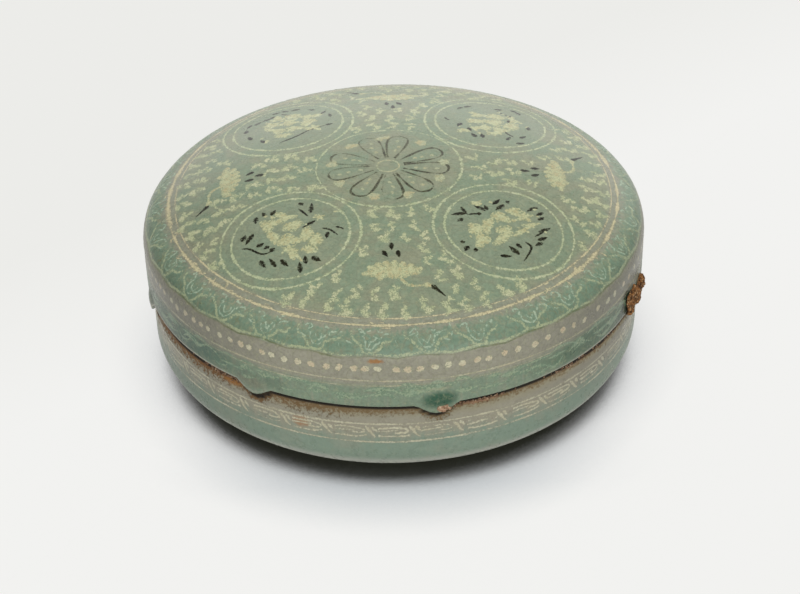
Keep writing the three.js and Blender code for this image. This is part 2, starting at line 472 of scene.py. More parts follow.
def ribbons(lines, half, place, strength=1.0, closed=False):
    """Inlaid lines of lens-shaped section.

    At each station two edge points lie a half width to each side, just under the glaze, one point stands
    proud in the middle and one lies under it. lines is (count, stations, 2) and half is (count, stations).
    """
    lines = np.atleast_3d(np.asarray(lines, float))
    count, stations = lines.shape[:2]
    half = np.broadcast_to(half, (count, stations))
    strength = np.broadcast_to(strength, (count, stations))
    if closed:
        step = np.roll(lines, -1, axis=1) - np.roll(lines, 1, axis=1)
    else:
        step = np.gradient(lines, axis=1)
    step /= np.linalg.norm(step, axis=2)[..., None] + 1e-9
    side = np.stack([-step[..., 1], step[..., 0]], axis=-1) * (half * LINE_FADE)[..., None]
    rows = [(lines + side, -EDGE_SINK), (lines, PROUD), (lines - side, -EDGE_SINK), (lines, -ROOT_SINK)]
    placed = [place(p[..., 0], p[..., 1], lift) for p, lift in rows]
    points = np.stack([p[0] for p in placed], axis=2)
    normals = np.stack([p[1] for p in placed], axis=2)
    core = np.stack([strength * 0, strength, strength * 0, strength * 0], axis=2)
    one = grid_faces(stations, 4, wrap_rows=closed)
    if not closed:
        ends = (stations - 1) * 4
        one = np.concatenate((one, [[3, 2, 1, 0], [ends, ends + 1, ends + 2, ends + 3]]))
    one = triangles(one)
    faces = (one[None] + np.arange(count)[:, None, None] * stations * 4).reshape(-1, 3)
    return {"points": points, "normals": normals, "core": core, "faces": faces}


def blobs(centres, outlines, place, strength=1.0, middle=0.6):
    """Inlaid patches of lens-shaped section.

    A middle point stands proud, a ring part of the way out a little less, the rim lies just under the
    glaze, and a root point lies below. centres is (count, 2) and outlines is (count, corners, 2).
    """
    centres, outlines = np.asarray(centres, float), np.asarray(outlines, float)
    count, corners = outlines.shape[:2]
    strength = np.broadcast_to(strength, (count,))
    stagger = (np.arange(count) % OVERLAP_LAYERS) * OVERLAP_STEP
    ring = centres[:, None] + outlines * PATCH_FADE
    inner = centres[:, None] + outlines * (PATCH_FADE * middle)
    layers = [
        place(centres[:, None, 0], centres[:, None, 1], PROUD + stagger[:, None]),
        place(inner[..., 0], inner[..., 1], PROUD * INNER_PROUD + stagger[:, None]),
        place(ring[..., 0], ring[..., 1], -EDGE_SINK + 0 * ring[..., 0]),
        place(centres[:, None, 0], centres[:, None, 1], -ROOT_SINK),
    ]
    points = np.concatenate([p[0] for p in layers], axis=1)
    normals = np.concatenate([p[1] for p in layers], axis=1)
    core = np.zeros((count, 2 * corners + 2))
    core[:, 0] = strength
    core[:, 1 : corners + 1] = strength[:, None] * INNER_STRENGTH
    k = np.arange(corners)
    after = (k + 1) % corners
    root = np.full(corners, 2 * corners + 1)
    a, b = 1 + k, 1 + after
    c, d = a + corners, b + corners
    one = np.concatenate(
        [np.stack(t, axis=1) for t in ((0 * k, a, b), (a, c, d), (a, d, b), (c, root, d))]
    )
    faces = (one[None] + np.arange(count)[:, None, None] * (2 * corners + 2)).reshape(-1, 3)
    return {"points": points, "normals": normals, "core": core, "faces": faces}

# Numbers of waves round an oval that ripple it, and round a ring that bend it and that change its width.
OVAL_WAVES = (2, 3, 5)
RING_WAVES = (2, 3, 5, 7, 11, 16)
WIDTH_WAVES = (3, 7, 13, 19, 31, 47)


def rough_outlines(sizes, tilts, corners, draw, rough=0.16):
    """Outlines of uneven ovals: half sizes along and across, turned by a tilt, with three random ripples."""
    sizes, tilts = np.asarray(sizes, float) / 2, np.radians(np.asarray(tilts, float))[:, None]
    angle = np.linspace(0, TURN, corners, endpoint=False)[None]
    swell = np.ones((len(sizes), corners))
    for order in OVAL_WAVES:
        strength = rough / order**0.5 * draw.normal(size=(len(sizes), 1))
        swell += strength * np.cos(order * angle + draw.uniform(0, TURN, (len(sizes), 1)))
    x = sizes[:, :1] * np.cos(angle) * swell
    y = sizes[:, 1:] * np.sin(angle) * swell
    return np.stack([x * np.cos(tilts) - y * np.sin(tilts), x * np.sin(tilts) + y * np.cos(tilts)], axis=-1)


def ring_line(radius, centre, count, wobble, seed):
    """A circle whose radius wanders by a few slow waves."""
    angle = np.linspace(0, TURN, count, endpoint=False)
    draw = np.random.default_rng(seed)
    wander = sum(np.sin(k * angle + draw.uniform(0, TURN)) / k**0.6 for k in RING_WAVES)
    r = radius + wobble * wander
    return np.stack([centre[0] + r * np.cos(angle), centre[1] + r * np.sin(angle)], axis=1)


def uneven_width(count, seed, low, high, cuts=0.0):
    """Half widths that swell and shrink along a closed line, and where cuts is above 0 fade to nothing."""
    angle = np.linspace(0, TURN, count, endpoint=False)
    draw = np.random.default_rng(seed)
    total = sum(np.sin(k * angle + draw.uniform(0, TURN)) for k in WIDTH_WAVES) / len(WIDTH_WAVES)
    share = np.clip(0.5 + total * 1.1 - cuts, 0, 1)
    return low + (high - low) * share


# Materials.

# A Mix node's inputs by number: its share, then two values, or two colours.
SHARE, LOW, HIGH, FROM, TO = 0, 2, 3, 6, 7
# Settings of a Mix node for colours, whose result is its third output, and of a soft-edged Map Range.
COLOUR_MIX = {"data_type": "RGBA", "out": 2}
SMOOTH = {"interpolation_type": "SMOOTHSTEP"}
# What a noise texture's value mostly lies between.
NOISE = (0.3, 0.7)
# The IOR of glass, and how much of its mirror shine is left under fine bubbles and long wear.
GLASS_IOR = 1.5
WORN_SHINE = 0.36


def add(tree, kind, inputs=(), out=0, **settings):
    """Adds a node with its settings, feeds its inputs, and returns one output, or the node if out is None.

    kind is the node's, and after a dot its operation. inputs are numbers, colours for paint() or other
    nodes' outputs: in the order of the node's sockets, or by name or number.
    """
    kind, _, operation = kind.partition(".")
    node = tree.nodes.new("ShaderNode" + kind)
    if operation:
        node.operation = operation
    for name, value in settings.items():
        setattr(node, name, value)
    for name, value in inputs.items() if isinstance(inputs, dict) else enumerate(inputs):
        if isinstance(value, bpy.types.NodeSocket):
            tree.links.new(value, node.inputs[name])
        else:
            node.inputs[name].default_value = paint(value) if isinstance(value, str) else value
    return node if out is None else node.outputs[out]


def paint(colour):
    """A socket's colour: from an sRGB hex code, or by the name that it has in the sidebar."""
    if colour.startswith("#"):
        return (*linear(colour), 1.0)
    return (*getattr(bpy.context.scene.covered_box_colours, colour), 1.0)


def laid_over(n, under, over, *ranged, **settings):
    """A colour with another laid over it, by where a value lies in a range.

    ranged is the value, the range's two ends, and how much shows at each end if not none and all.
    """
    share = n("MapRange", ranged, **settings)
    return n("Mix", {SHARE: share, FROM: under, TO: over}, **COLOUR_MIX)


def cleared(owner):
    """What adds nodes to a material or a world, after its own were taken away."""
    owner.use_nodes = True
    owner.node_tree.nodes.clear()
    return partial(add, owner.node_tree)


def millimetres(n):
    """Object coordinates in millimetres."""
    return n("VectorMath.SCALE", {0: n("TexCoord", out="Object"), "Scale": 1 / MM})


def place_on_box(n):
    """A place in millimetres, its x and height, its part in plan, and that part's length from the axis."""
    place = millimetres(n)
    x, _, height = n("SeparateXYZ", (place,), out=None).outputs
    flat = n("VectorMath.MULTIPLY", (place, (1, 1, 0)))
    return place, x, height, flat, n("VectorMath.LENGTH", (flat,), out=1)


def wandered(n, place, scale, reach):
    """Places moved by a noise of the given scale, by up to the reach in millimetres."""
    noise = n("TexNoise", {"Vector": place, "Scale": scale}, out="Color")
    step = n("VectorMath.SCALE", {0: noise, "Scale": reach})
    return n("VectorMath.ADD", (place, step))


def glaze_details(n, place, colour, uneven, height_scale, speck, pit_share, crackle):
    """What every glazed face has: fine grain, blotches, crackle, pale specks and pinholes.

    Grain is about 0.9 mm, drawn coarser than the real bubbles so that it shows. Blotches are 3 mm, crackle
    cells 5 mm and pinholes 0.4 mm wide and 3 mm apart. Returns colour, roughness and height.
    """
    grain = n("TexNoise", {"Vector": place, "Scale": 1.1, "Detail": 2.0, "Roughness": 0.65})
    mottle = n("TexNoise", {"Vector": place, "Scale": 0.3, "Detail": 4.0, "Roughness": 0.65})
    value = n("MapRange", (grain, 0.25, 0.75, 1 - 0.13 * uneven, 1 + 0.13 * uneven))
    blotches = n("MapRange", (mottle, *NOISE, 1 - 0.09 * uneven, 1 + 0.09 * uneven))
    value = n("Math.MULTIPLY", (value, blotches))
    colour = n("HueSaturation", {"Color": colour, "Value": value})
    pale = n("TexNoise", {"Vector": place, "Scale": 0.7, "Detail": 4.0, "Roughness": 0.75})
    colour = laid_over(n, colour, "#A5A882", pale, 0.52, 0.68, 0.0, speck)
    bent = wandered(n, place, 0.3, 3.0)
    crack = n("TexVoronoi", {"Vector": bent, "Scale": 0.2}, feature="DISTANCE_TO_EDGE")
    line = n("MapRange", (crack, 0.01, 0.06, 1.0, 0.0))
    seen = n("MapRange", (mottle, 0.4, 0.62, 0.1 * crackle, crackle))
    line = n("Math.MULTIPLY", (line, seen))
    colour = n("Mix", {SHARE: line, FROM: colour, TO: "#6F705C"}, **COLOUR_MIX)
    pits = n("TexVoronoi", {"Vector": place, "Scale": 0.33, "Randomness": 1.0})
    colour = laid_over(n, colour, "#55503C", pits, 0.035, 0.075, pit_share, 0.0)
    rough = n("MapRange", (mottle, *NOISE, 0.24, 0.36))
    height = n("Math.MULTIPLY", (grain, height_scale))
    return colour, rough, height


GLAZE_SOCKETS = (("Color", "Color"), ("Roughness", "Float"), ("Height", "Float"), ("Shade", "Float"))


def glaze_group(name, build):
    """A glaze's node group: build returns its colour, roughness, height and its painted side shade, a factor
    on brightness.
    """
    tree = bpy.data.node_groups.new(name, "ShaderNodeTree")
    for socket, kind in GLAZE_SOCKETS:
        tree.interface.new_socket(socket, in_out="OUTPUT", socket_type="NodeSocket" + kind)
    outputs = build(partial(add, tree))
    node = tree.nodes.new("NodeGroupOutput")
    for socket, value in zip(node.inputs, outputs):
        tree.links.new(value, socket)
    return tree


def spots(n, place, colour, marks):
    """Soft oval marks that fade outwards: each has a middle, half sizes, a colour and a strength."""
    moved = wandered(n, place, 0.6, 1.6)
    for middle, reach, code, strength in marks:
        offset = n("VectorMath.SUBTRACT", (moved, tuple(c + 0.8 for c in middle)))
        offset = n("VectorMath.MULTIPLY", (offset, tuple(1 / c for c in reach)))
        away = n("VectorMath.LENGTH", (offset,), out=1)
        colour = laid_over(n, colour, code, away, 0.45, 1.15, strength, 0.0, **SMOOTH)
    return colour


def painted_side_shade(n, x, left, right):
    """Painted shade towards both sides: what is left of the glaze's brightness there."""
    low = n("MapRange", (x, -86.0, -30.0, left, 1.0), **SMOOTH)
    high = n("MapRange", (x, 30.0, 88.0, 1.0, right), **SMOOTH)
    return n("Math.MULTIPLY", (low, high))


def wall_spot(degrees, height, radius=LID_RADIUS):
    """A middle on a wall, from degrees from the front and height."""
    turn = math.radians(degrees) - TURN / 4
    return (radius * math.cos(turn), radius * math.sin(turn), height)


# Marks in the lid's glaze: a bare rusty chip, thick pools of green at the swellings, thin grey places, and
# two broad dark teal patches low on the wall's sides, which are partly green glaze and partly painted shade.
LID_MARKS = (
    (wall_spot(-4.4, 55.6), (3.0, 3.0, 0.8), "#A3713A", 0.9),
    # Two broad patches: partly pooled green glaze, partly painted shade on the sides of the wall.
    (wall_spot(-56.0, 42.0), (34.0, 34.0, 5.4), "#467560", 0.75),
    (wall_spot(49.0, 42.0), (32.0, 32.0, 5.0), "#52755A", 0.75),
    (wall_spot(6.6, 43.6), (9.0, 9.0, 0.9), "#A9AC90", 0.6),
    (wall_spot(8.9, 39.4), (7.0, 7.0, 3.6), "#2C5742", 1.0),
    (wall_spot(63.0, 42.0), (7.0, 7.0, 6.2), "#3D5345", 0.9),
    (wall_spot(-33.0, 39.0), (7.0, 7.0, 2.4), "#7E7F6C", 0.6),
    (wall_spot(-27.0, 41.0), (5.0, 5.0, 3.0), "#5F7561", 0.5),
)
# Heights on the lid between which one glaze gives way to the next below it.
TEAL_STARTS = (63.2, 60.4)
BEAD_GROUND_STARTS = (57.8, 56.8)
LOW_GREEN_STARTS = (47.6, 44.6)
# Radii between which a medallion's green gives way to the field, and where the medallions lie.
MEDALLION_EDGE = (19.8, 20.8)
MEDALLION_MIDDLE = (37.0, 36.4, 0)
# The grey band along the border ring: its radius, and how far from it the band is full and gone.
BORDER_GREY_RADIUS = 79.9
BORDER_GREY_REACH = (1.0, 4.5)


def lid_glaze(n):
    """Celadon on the lid: a thick iron-green glass fired in smoke over grey stoneware.

    It gives a soft shine and a colour that goes by how thick the glaze lies. It is green and grey in
    blotches of 13 mm over the dome, teal over the ruyi band with cracks and runs down the wall, grey-brown
    and thin behind the beads, green again low down, and bare brown clay on the rim.
    """
    place, x, height, flat, radius = place_on_box(n)
    blotch = n(
        "TexNoise", {"Vector": place, "Scale": 0.075, "Detail": 4.0, "Roughness": 0.62, "Distortion": 0.6}
    )
    field = laid_over(n, "field_green", "field_grey", blotch, 0.42, 0.6, 0.0, 0.8)
    quadrant = n("VectorMath.ABSOLUTE", (flat,))
    away = n("VectorMath.DISTANCE", (quadrant, MEDALLION_MIDDLE), out=1)
    field = laid_over(n, field, "medallion_green", away, *MEDALLION_EDGE, 0.6, 0.0)
    runs_place = n("VectorMath.MULTIPLY", (place, (0.55, 0.55, 0.05)))
    runs = n("TexNoise", {"Vector": runs_place, "Scale": 1.0, "Detail": 3.0, "Roughness": 0.6})
    teal = laid_over(n, "band_teal", "field_grey", runs, 0.5, 0.7, 0.0, 0.7)
    cracks_place = n("VectorMath.MULTIPLY", (place, (0.2, 0.2, 0.02)))
    cracks = n("TexNoise", {"Vector": cracks_place, "Scale": 1.0, "Detail": 1.0})
    away = n("Math.ABSOLUTE", (n("Math.SUBTRACT", (cracks, 0.5)),))
    teal = laid_over(n, teal, "#87865F", away, 0.0, 0.012, 0.6, 0.0)
    away = n("Math.ABSOLUTE", (n("Math.SUBTRACT", (radius, BORDER_GREY_RADIUS)),))
    field = laid_over(n, field, "bead_grey", away, *BORDER_GREY_REACH, 0.7, 0.0, **SMOOTH)
    drop = n("Math.ADD", (height, n("MapRange", (runs, 0.35, 0.65, -1.8, 1.8))))
    colour = laid_over(n, field, teal, drop, *TEAL_STARTS, **SMOOTH)
    edge = n("Math.ADD", (height, n("MapRange", (blotch, *NOISE, -0.6, 0.6))))
    colour = laid_over(n, colour, "bead_grey", edge, *BEAD_GROUND_STARTS)
    low = laid_over(n, "low_green", "bead_grey", runs, 0.5, 0.72, 0.0, 0.5)
    colour = laid_over(n, colour, low, edge, *LOW_GREEN_STARTS)
    colour = spots(n, place, colour, LID_MARKS)
    # Painted shade: the glaze is darkened towards both sides, most on the wall.
    wall = n("MapRange", (height, 61.0, 54.0))
    on_top, on_side = painted_side_shade(n, x, 0.8, 0.97), painted_side_shade(n, x, 0.4, 0.42)
    shade = n("Mix", {SHARE: wall, LOW: on_top, HIGH: on_side})
    colour = n("HueSaturation", {"Color": colour, "Value": shade})
    # Painted highlight: a pale line along the lid's lowest edge, where the lip attribute is set, towards both
    # sides.
    sideways = n("Math.ABSOLUTE", (x,))
    share = n("MapRange", (sideways, 38.0, 62.0, 0.0, 0.6))
    share = n("Math.MULTIPLY", (share, n("Attribute", out="Fac", attribute_name="lip")))
    colour = n("Mix", {SHARE: share, FROM: colour, TO: "#C9C6B8"}, **COLOUR_MIX)
    colour, rough, bump = glaze_details(n, place, colour, 1.0, 0.03, 0.4, 0.4, 0.38)
    inside = n("Math.LESS_THAN", (radius, LID_RIM_RADIUS - 0.75))
    under = n("Math.LESS_THAN", (height, RIM_HEIGHT + 0.35))
    bare = n("Math.MULTIPLY", (inside, under))
    colour = n("Mix", {SHARE: bare, FROM: colour, TO: "#3A2C1C"}, **COLOUR_MIX)
    rough = n("Mix", {SHARE: bare, LOW: rough, HIGH: 0.85})
    return colour, rough, bump, shade


# Rusty and brown places on the body's wall.
BODY_MARKS = (
    (wall_spot(-21.8, 26.2, BODY_RADIUS), (3.6, 3.6, 2.6), "#A8774C", 0.65),
    (wall_spot(-39.5, 33.4, BODY_RADIUS), (5.0, 5.0, 2.0), "#9A6A34", 0.8),
    (wall_spot(-52.0, 33.8, BODY_RADIUS), (12.0, 12.0, 1.4), "#7B552D", 0.6),
    (wall_spot(18.0, 34.4, BODY_RADIUS), (7.0, 7.0, 0.8), "#A87F60", 0.6),
    (wall_spot(48.0, 34.3, BODY_RADIUS), (14.0, 14.0, 0.7), "#96704F", 0.55),
)
# How far the scorched brown reaches down from the lid's edge: degrees from the front and millimetres.
BURNT_REACH = (
    (-180, 3.2), (-95, 4.0), (-80, 7.5), (-55, 5.8), (-42, 5.4), (-30, 3.8), (-24, 6.4), (-8, 4.6),
    (4, 3.6), (60, 3.6), (180, 3.2),
)
# Slope of the sight line that passes the lid's edge, which is its fall for each level millimetre.
SIGHT_SLOPE = 0.696
# How far the lid's edge stands out over the body's wall.
LID_STAND = 1.6
# What counts of a swelling's proudness, how far the sight leans with the wall's turn, and the least share
# of the radius that is taken to face the sight.
SWELLING_SEEN = 0.93
SIGHT_LEAN = 0.16
LEAST_RUN = 0.25
# Degrees from the very side up to which the hidden strip is short, and from which it is full.
SIDE_REACH = (14, 38)
# Heights on the body between which the glaze turns green, takes a painted highlight at the foot, and gives
# way to clay.
BODY_GREEN_STARTS = (27.0, 20.5)
FOOT_HIGHLIGHT_STARTS = (14.6, 11.0)
CLAY_STARTS = (30.4, 32.8)


def below_lid(turn, height):
    """How far a place on the body's wall is below the line where the lid hides it.

    The lid stands out over the wall, so a sight line that passes its edge from the front and above meets
    the wall lower down: by the slope of the sight line times its level run from edge to wall, and that
    run is longer where the wall turns away. The same is done from the back; at the very sides it is short.
    """
    stand = LID_STAND + SWELLING_SEEN * swelling_proud(turn, RIM_HEIGHT + 0 * turn)
    angle = np.radians(from_front(turn))
    across = BODY_RADIUS * np.clip(np.abs(np.cos(angle + SIGHT_LEAN * np.sin(angle))), LEAST_RUN, 1)
    hidden = SIGHT_SLOPE * (np.sqrt(across**2 + 2 * BODY_RADIUS * stand) - across)
    side = np.interp(np.abs(np.abs(from_front(turn)) - 90), SIDE_REACH, (0, 1))
    hidden = side * hidden + (1 - side) * SIGHT_SLOPE * stand
    return RIM_HEIGHT - rim_hang(turn) - hidden - height


def body_glaze(n):
    """Celadon on the body, thinner than on the lid and so less shiny and more even.

    It is grey high up with runs, green below the fret, and pale at the foot, where a painted highlight
    stands for the pale floor's reflection. Near the seat and on the foot ring it was wiped off, and the clay
    there is dull buff, scorched brown below the lid, with a painted shadow dark under the lid's edge.
    """
    place, x, height, _, radius = place_on_box(n)
    runs_place = n("VectorMath.MULTIPLY", (place, (0.4, 0.4, 0.04)))
    runs = n("TexNoise", {"Vector": runs_place, "Scale": 1.0, "Detail": 3.0, "Roughness": 0.6})
    blotch = n("TexNoise", {"Vector": place, "Scale": 0.06, "Detail": 4.0, "Roughness": 0.6})
    edge = n("Math.ADD", (height, n("MapRange", (runs, *NOISE, -2.2, 2.2))))
    colour = laid_over(n, "body_grey", "body_green", edge, *BODY_GREEN_STARTS)
    colour = laid_over(n, colour, "body_grey", blotch, 0.5, 0.72, 0.0, 0.5)
    # Painted shade: the glaze is darkened towards both sides, by different amounts low down and high up.
    upper = n("MapRange", (height, 17.0, 28.0))
    low_down, high_up = painted_side_shade(n, x, 0.66, 0.84), painted_side_shade(n, x, 0.68, 0.58)
    shade = n("Mix", {SHARE: upper, LOW: low_down, HIGH: high_up})
    colour = n("HueSaturation", {"Color": colour, "Value": shade})
    # Painted highlight: pale low on the belly for the pale floor's reflection, less at the very bottom.
    share = n("MapRange", (height, *FOOT_HIGHLIGHT_STARTS, 0.0, 0.85), **SMOOTH)
    share = n("Math.MULTIPLY", (share, n("MapRange", (height, 3.0, 6.0, 0.2, 1.0))))
    colour = n("Mix", {SHARE: share, FROM: colour, TO: "#B3B5AC"}, **COLOUR_MIX)
    colour, rough, bump = glaze_details(n, place, colour, 0.55, 0.02, 0.12, 0.03, 0.03)
    clay_noise = n("TexNoise", {"Vector": place, "Scale": 0.9, "Detail": 4.0, "Roughness": 0.7})
    upper = n("Math.ADD", (height, n("MapRange", (blotch, *NOISE, -1.0, 1.0))))
    burnt = n("Attribute", out="Fac", attribute_name="burnt")
    uneven = n("MapRange", (clay_noise, *NOISE, -0.42, 0.42))
    uneven = n("Math.MULTIPLY", (uneven, n("MapRange", (burnt, 0.0, 0.2))))
    burnt = n("Math.ADD", (burnt, uneven))
    scorched = n("MapRange", (burnt, 0.35, 0.65))
    share = n("MapRange", (burnt, 0.3, 0.75, 0.0, 0.95))
    scorch = laid_over(n, "clay_brown", "#7C6747", x, -62.0, -18.0)
    clay = n("Mix", {SHARE: share, FROM: "clay_buff", TO: scorch}, **COLOUR_MIX)
    upper = n("MapRange", (upper, *CLAY_STARTS))
    upper = n("Math.MAXIMUM", (upper, scorched))
    outside = n("Math.GREATER_THAN", (radius, WELL_RADIUS + 0.4))
    upper = n("Math.MULTIPLY", (upper, outside))
    foot = n("MapRange", (height, 0.25, 0.75, 1.0, 0.0))
    bare = n("Math.MAXIMUM", (upper, foot))
    colour = n("Mix", {SHARE: bare, FROM: colour, TO: clay}, **COLOUR_MIX)
    colour = spots(n, place, colour, BODY_MARKS)
    # Painted shadow: near black in the gap under the lid, by the seam attribute.
    seam = n("Attribute", out="Fac", attribute_name="seam")
    colour = laid_over(n, colour, "#0E0A06", seam, 0.0, 1.0, 0.0, 0.96)
    rough = n("Mix", {SHARE: bare, LOW: rough, HIGH: 0.82})
    rub = n("Math.MULTIPLY", (clay_noise, 0.3))
    bump = n("Mix", {SHARE: bare, LOW: bump, HIGH: rub})
    return colour, rough, bump, shade


GLAZES = {"lid_celadon_glaze": lid_glaze, "body_celadon_glaze": body_glaze}


def finish_material(name, build):
    """A material with a bumped dielectric shader, whose colour, roughness and height come from build."""
    material = bpy.data.materials.new(name)
    n = cleared(material)
    colour, rough, height = build(n)
    inputs = {
        "Base Color": colour,
        "Roughness": rough,
        "Normal": n("Bump", {"Height": height, "Distance": MM, "Strength": 1.0}),
        "IOR": GLASS_IOR,
        "Specular IOR Level": WORN_SHINE,
    }
    n("OutputMaterial", {"Surface": n("BsdfPrincipled", inputs)}, out=None)
    return material


def glaze_outputs(n, name):
    """The outputs of a glaze's node group, which is made the first time that it is asked for."""
    tree = bpy.data.node_groups.get(name) or glaze_group(name, GLAZES[name])
    return list(n("Group", out=None, node_tree=tree).outputs)


def glazed_material(name, glaze):
    """Plain celadon glaze, as the shells have it."""
    return finish_material(name, lambda n: glaze_outputs(n, glaze)[:3])


def inlay_material(name, glaze, look):
    """Slip pressed into carved lines under the glaze.

    Its grain and thin places let the glaze's colour through, and the glaze that pooled in the carving
    tints it all round its edges.
    """

    def build(n):
        colour, rough, height, shade = glaze_outputs(n, glaze)
        place = millimetres(n)
        core = n("Attribute", out="Fac", attribute_name="core")
        grain = n("TexNoise", {"Vector": place, "Scale": look["grain"], "Detail": 3.0, "Roughness": 0.7})
        lifted = n("MapRange", (grain, 0.25, 0.75, -look["spread"], look["spread"]))
        shown = n("Math.ADD", (core, lifted))
        mask = n("MapRange", (shown, *look["edge"], 0.0, look["cover"]), **SMOOTH)
        colour = laid_over(n, colour, look["halo"], core, 0.02, 0.5, 0.0, look["pool"], **SMOOTH)
        tone = n("TexNoise", {"Vector": place, "Scale": look["tone"], "Detail": 4.0, "Roughness": 0.65})
        ink = laid_over(n, look["slip"], look["other"], tone, 0.42, 0.64)
        # Painted shade: the slip is darkened by a gentler share of the glaze's painted side shade, times its
        # grain.
        shade = n("MapRange", {0: shade, 3: 0.35})
        shade = n("Math.MULTIPLY", (shade, n("MapRange", (grain, *NOISE, 0.8, 1.18))))
        ink = n("HueSaturation", {"Color": ink, "Value": shade})
        colour = n("Mix", {SHARE: mask, FROM: colour, TO: ink}, **COLOUR_MIX)
        return colour, rough, height

    return finish_material(name, build)


def grit_material(name, hollow, middle, fleck_colour):
    """Kiln grit: fired sand and ash that stuck to the wall, dull, open and darker in its hollows.

    Its lumps are about 1.2 mm and its pale flecks of quartz 1.1 mm apart.
    """

    def build(n):
        place = millimetres(n)
        lump = n("TexNoise", {"Vector": place, "Scale": 0.8, "Detail": 5.0, "Roughness": 0.7})
        colour = laid_over(n, hollow, middle, lump, 0.4, 0.62)
        fleck = n("TexVoronoi", {"Vector": place, "Scale": 0.9})
        colour = laid_over(n, colour, fleck_colour, fleck, 0.15, 0.4, 0.8, 0.0)
        rough = n("MapRange", (lump, *NOISE, 0.95, 0.75))
        return colour, rough, n("Math.MULTIPLY", (lump, 0.5))

    return finish_material(name, build)


# Slips by material. Each is fine clay pressed into carved or stamped hollows, scraped flush and glazed
# over, so it is dull and grainy under the glaze's shine, thin in places and rimmed by pooled glaze. Cream
# is white clay that the glaze yellows or greens; black is iron-rich clay that burns to nearly black brown.
# slip and other: its two colours. halo and pool: the pooled glaze's colour and strength. grain and tone:
# scales per millimetre of its grain and of the change between its colours. spread: how ragged its edge is.
# edge: where the edge starts and ends. cover: how much it hides.
CREAM = dict(halo="#8E9874", pool=0.45, grain=1.3, spread=0.5, edge=(0.28, 0.64), cover=0.88, tone=0.3)
BLACK = dict(halo="#5F6650", pool=0.6, grain=1.5, spread=0.5, edge=(0.24, 0.56), cover=1.0, tone=0.4)
SLIPS = {
    # The bold ring: thick, warm and worn nearly bare.
    "cream_slip_border_ring": dict(
        CREAM, slip="#CFC59E", other="#C6C198", spread=0.45, halo="#8D8871", pool=0.7
    ),
    # Thin double rings, broken by the green that shows through.
    "cream_slip_rings": dict(CREAM, slip="#B2BD95", other="#C6CAA6", spread=0.75, cover=0.85),
    # Petal outlines, dry and broken, with a brown-green stain round them.
    "black_slip_petals": dict(
        BLACK, slip="black_slip", other="#474731", spread=1.4, grain=2.0, edge=(0.36, 0.62), cover=0.9,
        tone=0.5, halo="#626549", pool=0.8,
    ),
    # Dots of the flower, crumbled and half green.
    "cream_slip_dots": dict(
        CREAM, slip="#B7BD9A", other="#BCB085", spread=1.1, grain=1.8, cover=0.78, pool=0.5
    ),
    # Peony petals, the thickest and creamiest patches.
    "cream_slip_petals": dict(CREAM, slip="cream_slip", other="#B6B083", spread=0.95, tone=0.5, cover=0.84),
    # Leaves, stems, quills and legs, solid and nearly black.
    "black_slip_leaves": dict(BLACK, slip="black_slip", other="#2A2A14", spread=0.7),
    # Crane feathers, streaked and frayed.
    "cream_slip_cranes": dict(
        CREAM, slip="cream_slip", other="#B9AE82", spread=1.05, tone=0.5, pool=0.5, grain=2.0, cover=0.86
    ),
    # Cloud stamps, crumbly, with ragged edges.
    "cream_slip_clouds": dict(
        CREAM, slip="#B6BD93", other="#CACAA4", spread=1.1, tone=0.35, grain=1.9, cover=0.84
    ),
    # Ruyi heads, fine and drowned in thick teal glaze.
    "pale_slip_ruyi": dict(CREAM, slip="#A6BAA2", other="#B6C4A9", spread=0.45, halo="#7F9A83", cover=0.8),
    # Scalloped border, pale and a little washed out.
    "cream_slip_border": dict(
        CREAM, slip="#B2BA94", other="#A4B08C", spread=0.8, halo="#82927A", pool=0.5, cover=0.8
    ),
    # The olive edge under the border: pooled glaze, drawn darker as a painted shadow.
    "olive_glaze_and_shadow_line": dict(CREAM, slip="#667350", other="#7A7B5A", halo="#78805F", cover=0.75),
    # Beads, bright and dense, some stained tan.
    "cream_slip_beads": dict(
        CREAM, slip="#D0CCB0", other="#C9B596", spread=0.7, grain=1.7, tone=0.12, cover=0.94
    ),
    # Fine lines under the beads.
    "cream_slip_wall": dict(CREAM, slip="#BBB89F", other="#BDAF92", spread=0.4),
    # Low scrolls, washed thin and sunk in green.
    "faint_slip_scrolls": dict(
        CREAM, slip="#A3B091", other="#95A88F", spread=0.7, halo="#66866D", pool=0.6, cover=0.68
    ),
    # Key fret, crisp and pale under the body's thin glaze.
    "cream_slip_fret": dict(
        CREAM, slip="#CBC8AE", other="#BDB79B", spread=0.4, halo="#918E7B", pool=0.5, cover=0.86,
        edge=(0.22, 0.68),
    ),
}


def slip_material(name, glaze):
    """A slip's material by name, made the first time that it is asked for."""
    return bpy.data.materials.get(name) or inlay_material(name, glaze, SLIPS[name])


# Pieces.

LID_TURNS = 320
BODY_TURNS = 256
# Length up the face over which the lid's lip is drawn down where the rim hangs.
LIP_REACH = 6.0
# Rows up the lid's wall, round its shoulder and over its dome, and where those of the wall end.
LID_ROWS = (40, 24, 70)
WALL_ROWS_END = 18
# Rows up the body's belly and wall.
BODY_ROWS = (44, 70)
# How far a corner of rim or flange is rounded.
ROUNDED = 0.18


class Maker:
    """What the operators share: each can be undone."""

    bl_options = {"REGISTER", "UNDO"}


def closed_turning(rows, turns):
    """Faces of a turned shape whose first and last rows are single points on the axis."""
    middle = grid_faces(rows - 2, turns) + 1
    j = np.arange(turns)
    after = (j + 1) % turns
    last = 1 + (rows - 3) * turns
    start = np.stack([0 * j, 1 + after, 1 + j], axis=1)
    end = np.stack([0 * j + last + turns, last + j, last + after], axis=1)
    return np.concatenate((start, end, triangles(middle)))


def turned_mesh(rows):
    """Points and faces of a turned shape from its rows, each (turns, 3); the end rows shrink to points."""
    points = np.concatenate([rows[0][:1]] + list(rows[1:-1]) + [rows[-1][:1]])
    return {"points": points, "faces": closed_turning(len(rows), len(rows[1]))}


def turned_rows(turn, section):
    """Rows of a turned surface: each radius and height of its section, carried round the axis."""
    return [turned_point(turn, radius, height) for radius, height in section]


